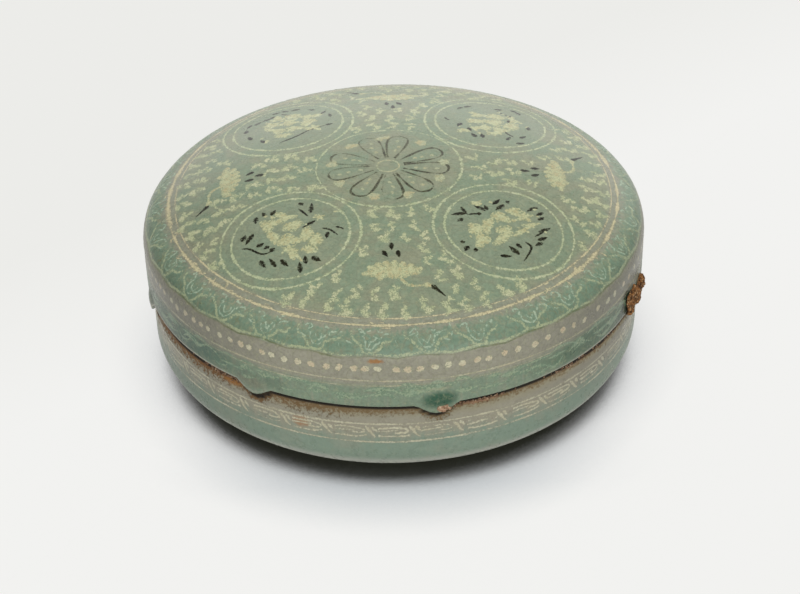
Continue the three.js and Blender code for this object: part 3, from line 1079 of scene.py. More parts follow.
def lid_outer_rows(turn, along):
    """Rows of the glaze face at lengths up it, and of the lip that closes it below.

    Within LIP_REACH of the lip a row goes down by the rim's hang times the square of its nearness, and it
    stands out as the swellings do at its new height.
    """
    hang = rim_hang(turn)
    rows = []
    for length in along:
        drawn = np.clip((LIP_REACH - length) / LIP_REACH, 0, 1) ** 2 * hang
        point, _ = lid_face(turn, length, 0)
        radius, height = np.hypot(point[:, 0], point[:, 1]), point[:, 2] - drawn
        radius += swelling_proud(turn, height) - swelling_proud(turn, point[:, 2])
        rows.append(turned_point(turn, radius, height))
    foot = np.hypot(rows[-1][:, 0], rows[-1][:, 1])
    rim = RIM_HEIGHT + GLAZE_INSET
    lip = (
        (foot - 0.17, rim - hang + ROUNDED),
        (CLEAR_OF_BODY + 0.3, rim - hang),
        (CLEAR_OF_BODY + 0.1, rim - hang + 0.08 * hang),
        (CLEAR_OF_BODY, rim),
    )
    return rows + turned_rows(turn, lip)


def lid_inner_section():
    """Section of the bare rim, the bore, the turn above it and the underside of the dome.

    The turn is a cubic whose handles reach two thirds of the way to the corner that it rounds, and the
    underside is the dome's height less the crown's thickness.
    """
    rim = RIM_HEIGHT + GLAZE_INSET
    inner = LID_BORE - LID_INNER_TURN
    start = np.array((inner, dome_height(inner) - CROWN_THICKNESS))
    corner = np.array((LID_BORE, start[1] + dome_slope(inner) * LID_INNER_TURN))
    end = corner - (0, LID_INNER_TURN)
    ceiling = np.linspace(inner, 0, 30)[1:]
    return (
        (LID_BORE + 2.5, rim),
        (LID_BORE + SOFT_EDGE, rim),
        (LID_BORE + ROUNDED, RIM_HEIGHT + 0.2),
        (LID_BORE + GLAZE_INSET, RIM_HEIGHT + SOFT_EDGE),
        (LID_BORE + GLAZE_INSET, RIM_HEIGHT + 5),
        *bezier((end, end + (corner - end) * 2 / 3, start + (corner - start) * 2 / 3, start), 14),
        *np.stack([ceiling, dome_height(ceiling) - CROWN_THICKNESS], axis=1),
    )


class COVERED_BOX_OT_lid_shell(Maker, bpy.types.Operator):
    """The lid in one closed turned mesh: glaze face, lip, bare rim, bore and the underside of the dome.

    Its attribute lip marks the lowest millimetre of the glaze, where the glaze is given a pale painted
    highlight.
    """

    bl_idname = "covered_box.lid_shell"
    bl_label = "Glazed Lid"

    def execute(self, context):
        turn = np.linspace(0, TURN, LID_TURNS, endpoint=False)
        on_wall, on_shoulder, over_dome = LID_ROWS
        wall = np.linspace(SOFT_EDGE, WALL_ROWS_END, on_wall)
        turn_over = np.linspace(WALL_ROWS_END, LID_LINE.at_radius(SHOULDER_START), on_shoulder)[1:]
        dome = LID_LINE.at_radius(np.linspace(SHOULDER_START, 0, over_dome))[1:]
        along = np.concatenate((wall, turn_over, dome))[::-1]
        part = turned_mesh(lid_outer_rows(turn, along) + turned_rows(turn, lid_inner_section()))
        lip = np.append(0, np.repeat(np.clip((1.15 - along[1:]) / 0.5, 0, 1), LID_TURNS))
        part["lip"] = np.append(lip, np.zeros(len(part["points"]) - len(lip)))
        material = glazed_material("lid_glazed_celadon", "lid_celadon_glaze")
        add_piece("lid_shell", [part], "lid", material, replaces=["box_lid"])
        return {"FINISHED"}


def body_inner_section():
    """Section of the bare seat, the flange, the well's elliptic quarter and its floor."""
    quarter = np.linspace(0, TURN / 4, 30)
    well = (
        WELL_RADIUS - WELL_EDGE_REACH * (1 - np.cos(quarter)),
        WELL_EDGE_HEIGHT - WELL_EDGE_DROP * np.sin(quarter),
    )
    return (
        (BODY_RADIUS - 0.4, SEAT_HEIGHT - 0.66),
        (BODY_RADIUS - 0.8, SEAT_HEIGHT - 0.52),
        (BODY_RADIUS - 2.4, SEAT_HEIGHT - 0.02),
        (FLANGE_RADIUS + 0.4, SEAT_HEIGHT - 0.02),
        (FLANGE_RADIUS, SEAT_HEIGHT + 0.3),
        (FLANGE_RADIUS, FLANGE_TOP - SOFT_EDGE),
        (FLANGE_RADIUS - ROUNDED, FLANGE_TOP - ROUNDED),
        (FLANGE_RADIUS - SOFT_EDGE, FLANGE_TOP),
        (WELL_RADIUS + SOFT_EDGE, FLANGE_TOP),
        (WELL_RADIUS + ROUNDED, FLANGE_TOP - ROUNDED),
        (WELL_RADIUS, FLANGE_TOP - SOFT_EDGE),
        (WELL_RADIUS, 30),
        *np.stack(well, axis=1),
        (20, FLOOR_HEIGHT),
        (0, FLOOR_HEIGHT),
    )


class COVERED_BOX_OT_body_shell(Maker, bpy.types.Operator):
    """The body in one closed turned mesh: foot recess, foot ring, belly, wall, bare seat, flange and well.

    Its attribute burnt is how scorched the clay is, and falls off with the place's depth below the lid's
    line. Its seam attribute is a painted shadow, dark in the gap under the lid, which fades out just below
    that line.
    """

    bl_idname = "covered_box.body_shell"
    bl_label = "Glazed Body"

    def execute(self, context):
        turn = np.linspace(0, TURN, BODY_TURNS, endpoint=False)
        foot = (
            (0, FOOT_RECESS),
            (20, FOOT_RECESS),
            (FOOT_INNER - FOOT_RECESS_SLOPE, FOOT_RECESS),
            (FOOT_INNER - 0.8, 0.5),
            (FOOT_INNER, 0.03),
            (FOOT_OUTER - 0.6, 0.03),
        )
        on_belly, on_wall = BODY_ROWS
        belly = np.linspace(BODY_LINE.along[0], BELLY_HEIGHT, on_belly)[:-1]
        wall = np.linspace(BELLY_HEIGHT, BODY_LINE.at_height(SEAT_HEIGHT - 0.95), on_wall)
        outside = [body_face(turn, length, 0)[0] for length in np.concatenate((belly, wall))]
        rows = turned_rows(turn, foot) + outside
        below = np.array([below_lid(turn, row[:, 2]) for row in rows[1:]])
        reach = np.interp(from_front(turn), *np.transpose(BURNT_REACH))
        burnt = np.clip(1 - below / (1.4 * reach), 0, 1)
        # Painted shadow in the gap under the lid: full just under the lid's line, reaching lower at the sides
        # and fading out below; the seat's outer edge gets it in full.
        aside = np.sin(np.radians(from_front(turn))) ** 2
        seam = np.clip((1.25 + 0.4 * aside - below) / 0.6, 0, 1)
        seam = seam * (1 - 0.35 * np.clip(-below - 0.3, 0, 1))
        part = turned_mesh(rows + turned_rows(turn, body_inner_section()))
        rest = len(part["points"]) - 1 - burnt.size
        part["burnt"] = np.concatenate(([0], burnt.ravel(), np.full(rest, 0.4)))
        part["seam"] = np.concatenate(([0], seam.ravel(), np.ones(BODY_TURNS), np.zeros(rest - BODY_TURNS)))
        material = glazed_material("body_glazed_celadon", "body_celadon_glaze")
        add_piece("body_shell", [part], "body", material, replaces=["box_body"])
        return {"FINISHED"}


# A lump of grit: rows and columns of its ball, and the wave length and share of each scale of its crags.
LUMP_ROWS = 36
LUMP_COLUMNS = 54
CRAGS = ((3.0, 0.4), (1.7, 0.3), (0.9, 0.2), (0.5, 0.1))


def grit_lump(ball, angle, middle, proud, wide, tall):
    """An ellipsoid on the wall, drawn in where ridged waves are low, and kept out of lid and body.

    A ridged wave is a smooth wave's distance from its middle, so its creases are sharp.
    """
    local = ball * (proud, wide / 2, tall / 2)
    shifted = local + (0, angle, middle)
    crags = 0.0
    for scale, share in CRAGS:
        lengths = (scale, scale * 1.3, scale * 0.8)
        crags = crags + share * np.abs(2 * waves(shifted, lengths, int(scale * 10)) - 1)
    local = local * (1.12 - 0.62 * crags[..., None])
    local[..., 0] = np.minimum(local[..., 0], proud)
    radius = LID_RADIUS + 0.3 + local[..., 0]
    height = middle + local[..., 2]
    turn = math.radians(angle) - TURN / 4 + local[..., 1] / LID_RADIUS
    inner = np.where(height > RIM_HEIGHT - 0.3, LID_RADIUS + 0.3, BODY_RADIUS + 0.35)
    points = turned_point(turn, np.maximum(radius, inner + 0.02 * local[..., 0]), height)
    points = np.concatenate((points[0, :1], points[1:-1].reshape(-1, 3), points[-1, :1]))
    return {"points": points, "faces": closed_turning(LUMP_ROWS, LUMP_COLUMNS)}


class COVERED_BOX_OT_kiln_grit(Maker, bpy.types.Operator):
    """The two clusters of grit: each is overlapping rough lumps in one mesh."""

    bl_idname = "covered_box.kiln_grit"
    bl_label = "Kiln Grit"

    def execute(self, context):
        materials = {
            "kiln_grit_front": grit_material("pale_fired_grit", "#8A6A50", "#CBA88C", "#E3D0B4"),
            "kiln_grit_right": grit_material("brown_fired_grit", "#3E2A1A", "grit_brown", "#C8A67C"),
        }
        polar = np.linspace(0, math.pi, LUMP_ROWS)[:, None]
        around = np.linspace(0, TURN, LUMP_COLUMNS, endpoint=False)[None]
        sides = (np.sin(polar) * np.cos(around), np.sin(polar) * np.sin(around), np.cos(polar))
        ball = np.stack(np.broadcast_arrays(*sides), axis=-1)
        for name, lumps in GRIT_LUMPS.items():
            parts = [grit_lump(ball, *lump) for lump in lumps]
            add_piece(name + "_crust", parts, "lid", materials[name], replaces=[name])
        return {"FINISHED"}


LID_STRIPS = partial(in_strips, 30, 66)
BODY_STRIPS = partial(in_strips, 16, 37)


def add_inlay(name, parts, slip, unwrap=from_above, body="lid"):
    """A piece of slip inlay, let into the glaze of the lid or the body."""
    add_piece(name, parts, body, slip_material(slip, body + "_celadon_glaze"), unwrap=unwrap)


def size(name):
    """A length from the sidebar, in millimetres."""
    return getattr(bpy.context.scene.covered_box_sizes, name) / MM


def taper(count, values, shares=None):
    """Values at even stations along a line, straight between those given, which lie at shares of its length.

    Without shares they lie evenly.
    """
    shares = np.linspace(0, 1, len(values)) if shares is None else shares
    return np.interp(np.linspace(0, 1, count), shares, values)


def in_plan(reach, turn):
    """Places in plan, from how far out they are and in which direction."""
    return np.stack([reach * np.cos(turn), reach * np.sin(turn)], axis=1)


def turned_in_plan(turn):
    """What turns rows of x and y by an angle about the middle when they are multiplied by it."""
    return np.array(((math.cos(turn), math.sin(turn)), (-math.sin(turn), math.cos(turn))))


STROKE_STATIONS = 17
# Four times how far a stroke's middle bows out, in millimetres.
STROKE_BOW = 0.5


def short_strokes(marks, width):
    """Strokes with a slight bow from middle, length and tilt, pointed at the start and blunt at the end."""
    marks = np.asarray(marks, float)
    turn = np.radians(marks[:, 3])
    way = np.stack([np.cos(turn), np.sin(turn)], axis=1)[:, None]
    t = np.linspace(-0.5, 0.5, STROKE_STATIONS)[None, :, None]
    lines = marks[:, None, :2] + way * t * marks[:, None, 2:3]
    bow = np.stack([-way[..., 1], way[..., 0]], axis=-1) * (0.25 - t**2) * STROKE_BOW
    swell = np.sin(math.pi * np.clip(t[..., 0] + 0.5, 0.02, 0.98) ** 1.4) ** 0.55
    half = width / 2 * np.maximum(swell, 0.08) * np.ones((len(marks), 1))
    return lines + bow, half


def dome_ring(radius, middle, count, wobble, seeds, widths, shown, factor=1.0):
    """A closed ring of slip on the dome: a wandering circle with uneven half widths and strengths.

    seeds are the circle's, the widths' and the strengths', and widths and shown are low and high values.
    """
    line = ring_line(radius, middle, count, wobble, seeds[0])
    half = uneven_width(count, seeds[1], *widths) * factor
    return ribbons([line], half, on_dome, uneven_width(count, seeds[2], *shown), closed=True)


BORDER_STATIONS = 720
CENTRE_STATIONS = 360
MEDALLION_STATIONS = 300
AXIS = (0, 0)
CENTRE_RING_MIDDLE = (-1.04, 0.22)
MEDALLIONS = {"FL": (-35.2, -37.8), "FR": (37.8, -35.8), "BL": (-38.2, 37.2), "BR": (36.6, 34.7)}
# Marks across the border ring where the tool slipped: the angles from +X, in radians, that they lie
# between, and how many. Most are front left, fewer front right, and the rest anywhere.
SLIPS_OF_THE_TOOL = ((-2.9, -2.0, 26), (-1.1, -0.4, 14), (0, TURN, 26))


class COVERED_BOX_OT_lid_rings(Maker, bpy.types.Operator):
    """Bold border ring with slips of the tool across it, thin ring, flower ring and double rings."""

    bl_idname = "covered_box.lid_rings"
    bl_label = "Rings on the Lid"

    def tool_slips(self):
        """Short marks across the border ring, each at a slant of its own."""
        draw = np.random.default_rng(55)
        turn = np.concatenate([draw.uniform(low, high, count) for low, high, count in SLIPS_OF_THE_TOOL])
        count = len(turn)
        reach = size("border_ring") + draw.normal(0, 0.9, count)
        tilt = np.degrees(turn) + draw.choice((90, 80, 110, 10, 30), count)
        length = draw.uniform(1.4, 3.4, count)
        marks = np.column_stack((in_plan(reach, turn), length, tilt))
        lines, half = short_strokes(marks, 0.6)
        return ribbons(lines, half, on_dome, draw.uniform(0.5, 0.9, (count, 1)))

    def execute(self, context):
        half, bold = size("line_width") / 2, size("border_width") / 2
        count = BORDER_STATIONS
        angle = np.linspace(0, TURN, count, endpoint=False)
        sides = 0.75 + 0.75 * np.abs(np.cos(angle)) ** 1.5
        widths = (bold * 0.35, bold * 1.6)
        radius = size("border_ring")
        parts = [
            dome_ring(radius, AXIS, count, 0.16, (4, 5, 3), widths, (0.6, 1.05), sides),
            dome_ring(size("thin_ring"), AXIS, count, 0.08, (6, 7, 8), (half * 0.5, half), (0.25, 1.0)),
            self.tool_slips(),
        ]
        add_inlay("border_rings", parts, "cream_slip_border_ring")
        count = CENTRE_STATIONS
        angle = np.linspace(0, TURN, count, endpoint=False)
        front_right = np.clip(np.cos(angle + math.radians(45)), 0, 1)
        widths = (half * 0.45, half)
        radius = size("centre_ring")
        middle = CENTRE_RING_MIDDLE
        parts = [dome_ring(radius, middle, count, 0.12, (9, 10, 11), widths, (0.35, 1.0), 1 + front_right)]
        count = MEDALLION_STATIONS
        for k, middle in enumerate(MEDALLIONS.values()):
            for j, (radius, low) in enumerate((("medallion_outer", 0.72), ("medallion_inner", 0.64))):
                seeds = (20 + k, 30 + k, 44 + 2 * k + j)
                widths = (half * low, half * 1.5)
                parts.append(dome_ring(size(radius), middle, count, 0.07, seeds, widths, (0.5, 1.05)))
        add_inlay("medallion_and_centre_rings", parts, "cream_slip_rings")
        return {"FINISHED"}


# Petals of the flower: direction in degrees from +X, how dark the left side, tip and right side are.
PETALS = (
    (78, 0.75, 0.45, 0.75),
    (28, 0.95, 0.95, 0.95),
    (-6, 1.0, 1.0, 0.85),
    (-48, 0.95, 1.0, 0.9),
    (-85, 0.9, 0.35, 0.2),
    (-122, 0.9, 1.0, 0.95),
    (-166, 0.6, 0.75, 0.6),
    (159, 0.6, 0.8, 0.55),
    (112, 0.6, 0.6, 0.6),
)
FLOWER_MIDDLE = (-1.4, 0.0)
HUB_RADIUS = 3.9
# Where a petal starts and ends, from the middle, and its half width.
PETAL_NEAR = 5.6
PETAL_FAR = 21.6
PETAL_HALF = 3.6
# Directions of the dots between the petals, in degrees from +X, and how far out they lie.
FLOWER_DOTS = (53, 6.5, -25, -70, -105, -149, 172, 131, 95)
DOTS_REACH = 20.0
# Three specks lie along the middle of each petal, this far out.
SPECKS_REACH = (10.5, 13.8, 17.2)


def petal_line(direction, count):
    """A loop that opens out from the hub, runs along one side, round a blunt tip and back."""
    near, far, half = PETAL_NEAR, PETAL_FAR, PETAL_HALF
    shape = [(near, -half * 0.35), (near + 3.5, -half * 0.62), (far - 6, -half), (far - 1.6, -half * 0.86)]
    shape += [(far, 0)]
    shape += [(a, -b) for a, b in shape[-2::-1]]
    return smooth_line(np.array(shape) @ turned_in_plan(math.radians(direction)) + FLOWER_MIDDLE, count)


class COVERED_BOX_OT_chrysanthemum(Maker, bpy.types.Operator):
    """Nine black petal loops round a plain hub, with cream dots between and inside them."""

    bl_idname = "covered_box.chrysanthemum"
    bl_label = "Flower in the Middle"

    def execute(self, context):
        draw = np.random.default_rng(41)
        stations = 60
        lines, halves, strengths = [], [], []
        for direction, left, tip, right in PETALS:
            lines.append(petal_line(direction, stations))
            side = taper(stations, (right, right, tip, left, left), (0, 0.35, 0.5, 0.65, 1))
            ragged = taper(stations, draw.uniform(0.0, 1.3, 15))
            halves.append(0.2 + 0.26 * side * ragged)
            strengths.append(np.clip(side * (0.12 + 0.95 * ragged), 0, 1))
        add_inlay("flower_petal_lines", [ribbons(lines, halves, on_dome, strengths)], "black_slip_petals")
        middle = np.array(FLOWER_MIDDLE)
        ways = np.radians(np.array(FLOWER_DOTS, float))
        dots = middle + in_plan(DOTS_REACH, ways)
        outlines = rough_outlines([(3.8, 4.4)] * len(dots), np.degrees(ways), 14, draw, 0.28)
        parts = [blobs(dots, outlines, on_dome)]
        count = len(PETALS) * len(SPECKS_REACH)
        inside = np.radians(np.repeat([p[0] for p in PETALS], len(SPECKS_REACH)))
        inside = inside + draw.uniform(-0.09, 0.09, count)
        reach = np.tile(SPECKS_REACH, len(PETALS)) + draw.uniform(-0.8, 0.8, count)
        specks = middle + in_plan(reach, inside)
        outlines = rough_outlines([(1.7, 1.3)] * count, np.degrees(inside), 10, draw)
        parts.append(blobs(specks, outlines, on_dome, 0.8))
        parts.append(dome_ring(HUB_RADIUS, FLOWER_MIDDLE, 90, 0.05, (3, 4, 4), (0.2, 0.4), (0.7, 0.7)))
        add_inlay("flower_cream_dots", parts, "cream_slip_dots")
        return {"FINISHED"}


# Peony clusters: cream petals as middle x, y, length, width and tilt from the medallion's middle.
PEONY_PETALS = {
    "FL": (
        (-2.5, 10.2, 6, 4, 0), (-7.7, 7, 5, 5, 0), (0.7, 5, 6, 4, 20), (-5.7, 0.2, 7, 2.8, -60),
        (5.5, -0.2, 6, 4, 80), (-0.5, -2.2, 6, 5, 0), (8.7, -3.8, 6, 4, 80), (0.7, -8.2, 8, 3, -60),
        (6.7, -8.2, 4, 3, 0), (9.9, 8.2, 2.4, 2.4, 0),
    ),
    "FR": (
        (3.6, 9.4, 4, 3, 0), (-0.8, 5.2, 6, 4, -40), (7, 6.8, 5, 4, 0), (9.4, 2.4, 5, 2, 25),
        (-5.6, 0.4, 6, 4, 80), (-9.6, -2, 5, 5, 0), (0.4, -2, 5, 4, 0), (6, -1.2, 7, 1.6, 45),
        (-7.8, -7.8, 6, 4, 70), (-1.2, -6.4, 6, 3, 50), (-9, 12, 3, 2.5, 0),
    ),
    "BL": (
        (-4.4, 8.4, 5, 4, 20), (1.6, 8.8, 6, 4, -10), (8.2, 6.2, 5, 4, 30), (-6.2, 2.6, 5, 4, 0),
        (0.4, 2.8, 6, 5, 0), (7.4, 0.8, 6, 4, 60), (-4.2, -3.4, 6, 4, -30), (2.4, -3.6, 5, 4, 10),
        (9.4, -4.8, 4, 4, 0), (-1.4, -8.6, 5, 3, 0),
    ),
    "BR": (
        (-4.2, 6.2, 5, 4, 0), (2.4, 6.0, 6, 4, 10), (8.6, 4.2, 4, 4, 0), (-5.2, 0.4, 5, 4, 30),
        (1.4, 0.2, 6, 5, 0), (7.6, -2.2, 6, 4, -40), (-3.2, -5.2, 6, 4, 10), (3.6, -6.2, 5, 4, 0),
        (-10.2, -8.3, 3.4, 3, 0), (0.6, -9.5, 4, 3, 0),
    ),
}
# Leaves in black slip: middle x, y, length and tilt.
LEAVES = {
    "FL": (
        (-12.1, 10.8, 3.2, 85), (-9.6, 13.4, 2.6, 110), (-6.3, 13.8, 2.8, 60), (3.5, 16.8, 2, 120),
        (6.9, 14, 5, 85), (7.1, 5.8, 3, 30), (12.7, -1.8, 3, 80), (-14.1, 1.4, 5, 62),
        (-16.3, 2.6, 3, 65), (-10.3, -2.4, 2.6, 25), (-8.1, -4.4, 2, 20), (-6.1, -5.7, 2, 35),
        (-9.1, -11.8, 3.8, 115), (-5.9, -12, 4.5, 118), (-1.7, -13, 4, 125), (5.3, -12.8, 3.4, 95),
        (9.1, -13, 3.6, 140), (3.5, -16, 4.4, 95),
    ),
    "FR": (
        (-13.2, 7.6, 4.5, 115), (-15.2, 5.8, 5, 12), (-14.8, 2.4, 2.5, 40), (-8.4, 6.2, 1.8, 0),
        (-8, 9.6, 4.5, -35), (-5.8, 10, 2.6, 110), (-2, 13.8, 3.8, 50), (2, 14.4, 1.5, 30),
        (-0.8, 10.6, 4.2, 48), (10.4, 11.2, 4.4, 35), (12.8, 9, 3.2, 38), (13.2, 6.8, 2.6, 38),
        (14, 1, 4.8, 35), (13, -3.6, 3.6, 32), (11.6, -6.8, 3, 35), (4.8, -8.8, 2.4, 130),
        (2.8, -11.2, 4.4, -48), (0, -14.2, 3.6, 5), (-14.4, -8.9, 1.6, 0), (-13.2, -12.2, 2.6, 60),
        (-10.1, -12.4, 1.5, 0),
    ),
    "BL": (
        (-5, 15.6, 3, 20), (-1.6, 16, 3, 160), (2.2, 15.6, 3.2, 10), (-14.6, 6, 3, 60),
        (-11.6, 7.6, 3, 40), (-8.6, 9.4, 3, 30), (-6.2, 10.8, 2.6, 40), (-15.8, 1.2, 3, 80),
        (-14, -6, 3.4, 110), (13, 9, 3, 60), (15.4, 5.4, 3, 100), (8.2, 13.2, 3, 150), (-9, -11, 3, 120),
        (15.4, -3, 2.6, 20),
    ),
    "BR": (
        (-7.8, 14.5, 3, 30), (-10.8, 12.1, 3, 50), (3.6, 13.9, 3, 0), (9.6, 14.5, 2.6, 140),
        (10.8, 12.7, 3, 120), (7.8, 7.3, 2.4, 30), (7.2, 2.5, 2.2, 60), (13.8, -1.7, 3, 90),
        (-11.4, -3.5, 3, 60), (-7.8, -7.1, 2.6, 110), (-6.6, -11.9, 3, 120), (-3.6, -11.9, 3, 100),
        (6, -12.5, 3, 60), (11.4, -10.1, 3, 40), (10.2, -15.5, 3, 20),
    ),
}
# Stems and tails: points from the medallion's middle.
STEMS = {
    "FL": (
        ((2.5, 14.2), (4.4, 11.6), (5.9, 9.4)),
        ((7.1, 5.8), (5.4, 4.2), (3.9, 3.4)),
        ((10.9, 2.2), (13.5, 1), (16.3, -2.2)),
        ((15.5, 2.4), (17, 1.7), (18.3, 0.6)),
        ((-16.7, -2.6), (-14.1, -3.4), (-10.9, -6.2), (-8.9, -7.2), (-6.5, -6.8)),
    ),
    "FR": (
        ((-12, 5.6), (-10.2, 6.1), (-8.4, 6.2)),
        ((14, 1), (12.6, -1), (10.4, -3.2)),
        ((6.8, -6.4), (8.8, -8.4), (8, -11.6), (5.8, -15.8)),
    ),
    "BL": (((-2.6, -14.4), (3.4, -10.8), (8.2, -6.6), (15.4, -3)), ((-3, 13.4), (-1, 11.4), (1, 10.4))),
    "BR": (
        ((-16.8, 2.5), (-16, 1.2), (-15, 0.1)),
        ((3, 12), (4.6, 10), (6.8, 8.4)),
        ((8, -11), (6, -9), (5, -7)),
    ),
}
# Small scattered crumbs of slip in each spray.
PETAL_CRUMBS = 26


class COVERED_BOX_OT_peonies(Maker, bpy.types.Operator):
    """Four peony sprays: rough cream petals, black leaves and stems."""

    bl_idname = "covered_box.peonies"
    bl_label = "Peony Medallions"

    def execute(self, context):
        draw = np.random.default_rng(52)
        petals, leaves = [], []
        count = PETAL_CRUMBS
        for key, middle in MEDALLIONS.items():
            table = np.array(PEONY_PETALS[key])
            outlines = rough_outlines(table[:, 2:4] * 1.3, table[:, 4], 22, draw, 0.3)
            petals.append(blobs(table[:, :2] + middle, outlines, on_dome, 1.0, 0.45))
            crumbs = table[draw.integers(0, len(table), count), :2] + draw.normal(0, 3.0, (count, 2))
            sizes = draw.uniform(0.9, 2.2, (count, 2))
            outlines = rough_outlines(sizes, draw.uniform(0, 180, count), 10, draw)
            petals.append(blobs(crumbs + middle, outlines, on_dome, 0.85, 0.45))
            marks = np.array(LEAVES[key])
            marks[:, :2] += middle
            marks[:, 2] *= 1.12
            marks[:, 3] += draw.choice((0, 180), len(marks))
            lines, half = short_strokes(marks, 1.6)
            half = half * draw.uniform(0.8, 1.15, (len(marks), 1))
            leaves.append(ribbons(lines, half, on_dome, draw.uniform(0.7, 1.0, (len(marks), 1))))
            for points in STEMS[key]:
                line = smooth_line(np.array(points) + middle, 16)
                width = taper(16, (0.1, 0.4, 0.32, 0.08), (0, 0.15, 0.8, 1))
                leaves.append(ribbons([line], width, on_dome, 0.85))
        add_inlay("peony_petals", petals, "cream_slip_petals")
        add_inlay("peony_leaves_and_stems", leaves, "black_slip_leaves")
        return {"FINISHED"}


# The front crane, in plan; the others are the same crane turned by quarters. Points and then a width.
CRANE_FEATHERS = (
    ((-4.6, -60.6), (-8.2, -59.6), (-10.9, -59.4), 1.6),
    ((-4.0, -60.0), (-6.8, -57.6), (-9.0, -56.4), 1.9),
    ((-2.8, -60.2), (-4.6, -57.0), (-6.0, -54.8), 2.1),
    ((-1.4, -60.4), (-2.2, -56.8), (-3.0, -54.2), 2.2),
    ((0.2, -60.6), (0.2, -57.0), (0.2, -53.9), 2.2),
    ((1.8, -60.4), (2.6, -57.2), (3.2, -54.6), 2.1),
    ((3.2, -60.2), (4.8, -57.8), (6.2, -55.8), 2.0),
    ((4.2, -59.8), (6.8, -58.6), (9.4, -57.6), 1.8),
    ((-3.4, -60.8), (-4.6, -61.4), (-5.6, -62.3), 1.8),
)
# Its neck and its head with the bill.
CRANE_LINES = (
    ((2.1, -59.9), (2.5, -62.5), (4.1, -64.5), (6.5, -65.2), 1.1),
    ((6.5, -65.2), (8.2, -65.1), (9.4, -65.0), (10.6, -64.9), 0.7),
)
# Patches that fill its body, each side of the body and its head: middle, length and width.
CRANE_BODY = (
    (0.2, -59.0, 13.0, 5.5),
    (-5.2, -59.6, 9.0, 3.8),
    (4.8, -58.6, 9.0, 4.0),
    (10.9, -64.9, 3.2, 2.2),
)
CRANE_QUILLS = ((-0.7, -47.2, 3.6, 90), (-2.9, -50.7, 3.4, 118), (1.6, -50.9, 3.4, 95))
CRANE_LEGS = ((12.1, -64.9), (13.9, -66.5), (16.8, -69.2))


def crane_strokes(table, way, count):
    """The strokes of a table of a crane's lines, turned, and the full width of each."""
    lines = np.array([smooth_line(np.array(stroke[:-1]) @ way, count) for stroke in table])
    return lines, np.array([stroke[-1] for stroke in table])[:, None]


class COVERED_BOX_OT_cranes(Maker, bpy.types.Operator):
    """Four flying cranes: cream feathers fanned into a wing, neck and head, with black quills and legs."""

    bl_idname = "covered_box.cranes"
    bl_label = "Cranes"

    def execute(self, context):
        draw = np.random.default_rng(63)
        cream, black = [], []
        for quarter_turn in range(4):
            turn = quarter_turn * TURN / 4
            way = turned_in_plan(turn)
            lines, widths = crane_strokes(CRANE_FEATHERS, way, 12)
            shape = taper(12, (0.25, 0.42, 0.58, 0.3), (0, 0.2, 0.75, 1))[None]
            half = widths * shape * draw.uniform(0.85, 1.15, (len(lines), 1))
            cream.append(ribbons(lines, half, on_dome, 0.95))
            lines, widths = crane_strokes(CRANE_LINES, way, 16)
            cream.append(ribbons(lines, widths / 2, on_dome, 0.8))
            body = np.array(CRANE_BODY)
            outlines = rough_outlines(body[:, 2:], [math.degrees(turn)] * len(body), 18, draw)
            cream.append(blobs(body[:, :2] @ way, outlines, on_dome, 0.9, 0.5))
            marks = np.array(CRANE_QUILLS)
            marks[:, :2] = marks[:, :2] @ way
            marks[:, 3] += math.degrees(turn)
            lines, half = short_strokes(marks, 1.5)
            black.append(ribbons(lines, half, on_dome))
            legs = smooth_line(np.array(CRANE_LEGS) @ way, 14)
            black.append(ribbons([legs], taper(14, (0.35, 0.8, 0.15), (0, 0.2, 1)), on_dome))
        add_inlay("crane_feathers", cream, "cream_slip_cranes")
        add_inlay("crane_quills_and_legs", black, "black_slip_leaves")
        return {"FINISHED"}


# Radii of the rings of clouds, and the three lobes of one: how far across and along, its width and length.
CLOUD_ROWS = (30, 36.5, 43, 49.5, 56, 62.5, 69, 75)
CLOUD_LOBES = ((-0.3, 1.7, 3.8, 2.7), (0.7, -0.2, 2.8, 2.6), (-0.6, -1.8, 2.2, 2.8))
# Room that the front crane takes, as left, right, front and back edges.
CRANE_ROOMS = ((-12.5, 10.0, -64.0, -52.0), (2.0, 18.0, -70.0, -62.0), (-5.0, 4.0, -52.5, -46.0))
# Room between the clouds and the rings.
CLEAR_OF_CENTRE = 2.6
CLEAR_OF_MEDALLION = 2.2


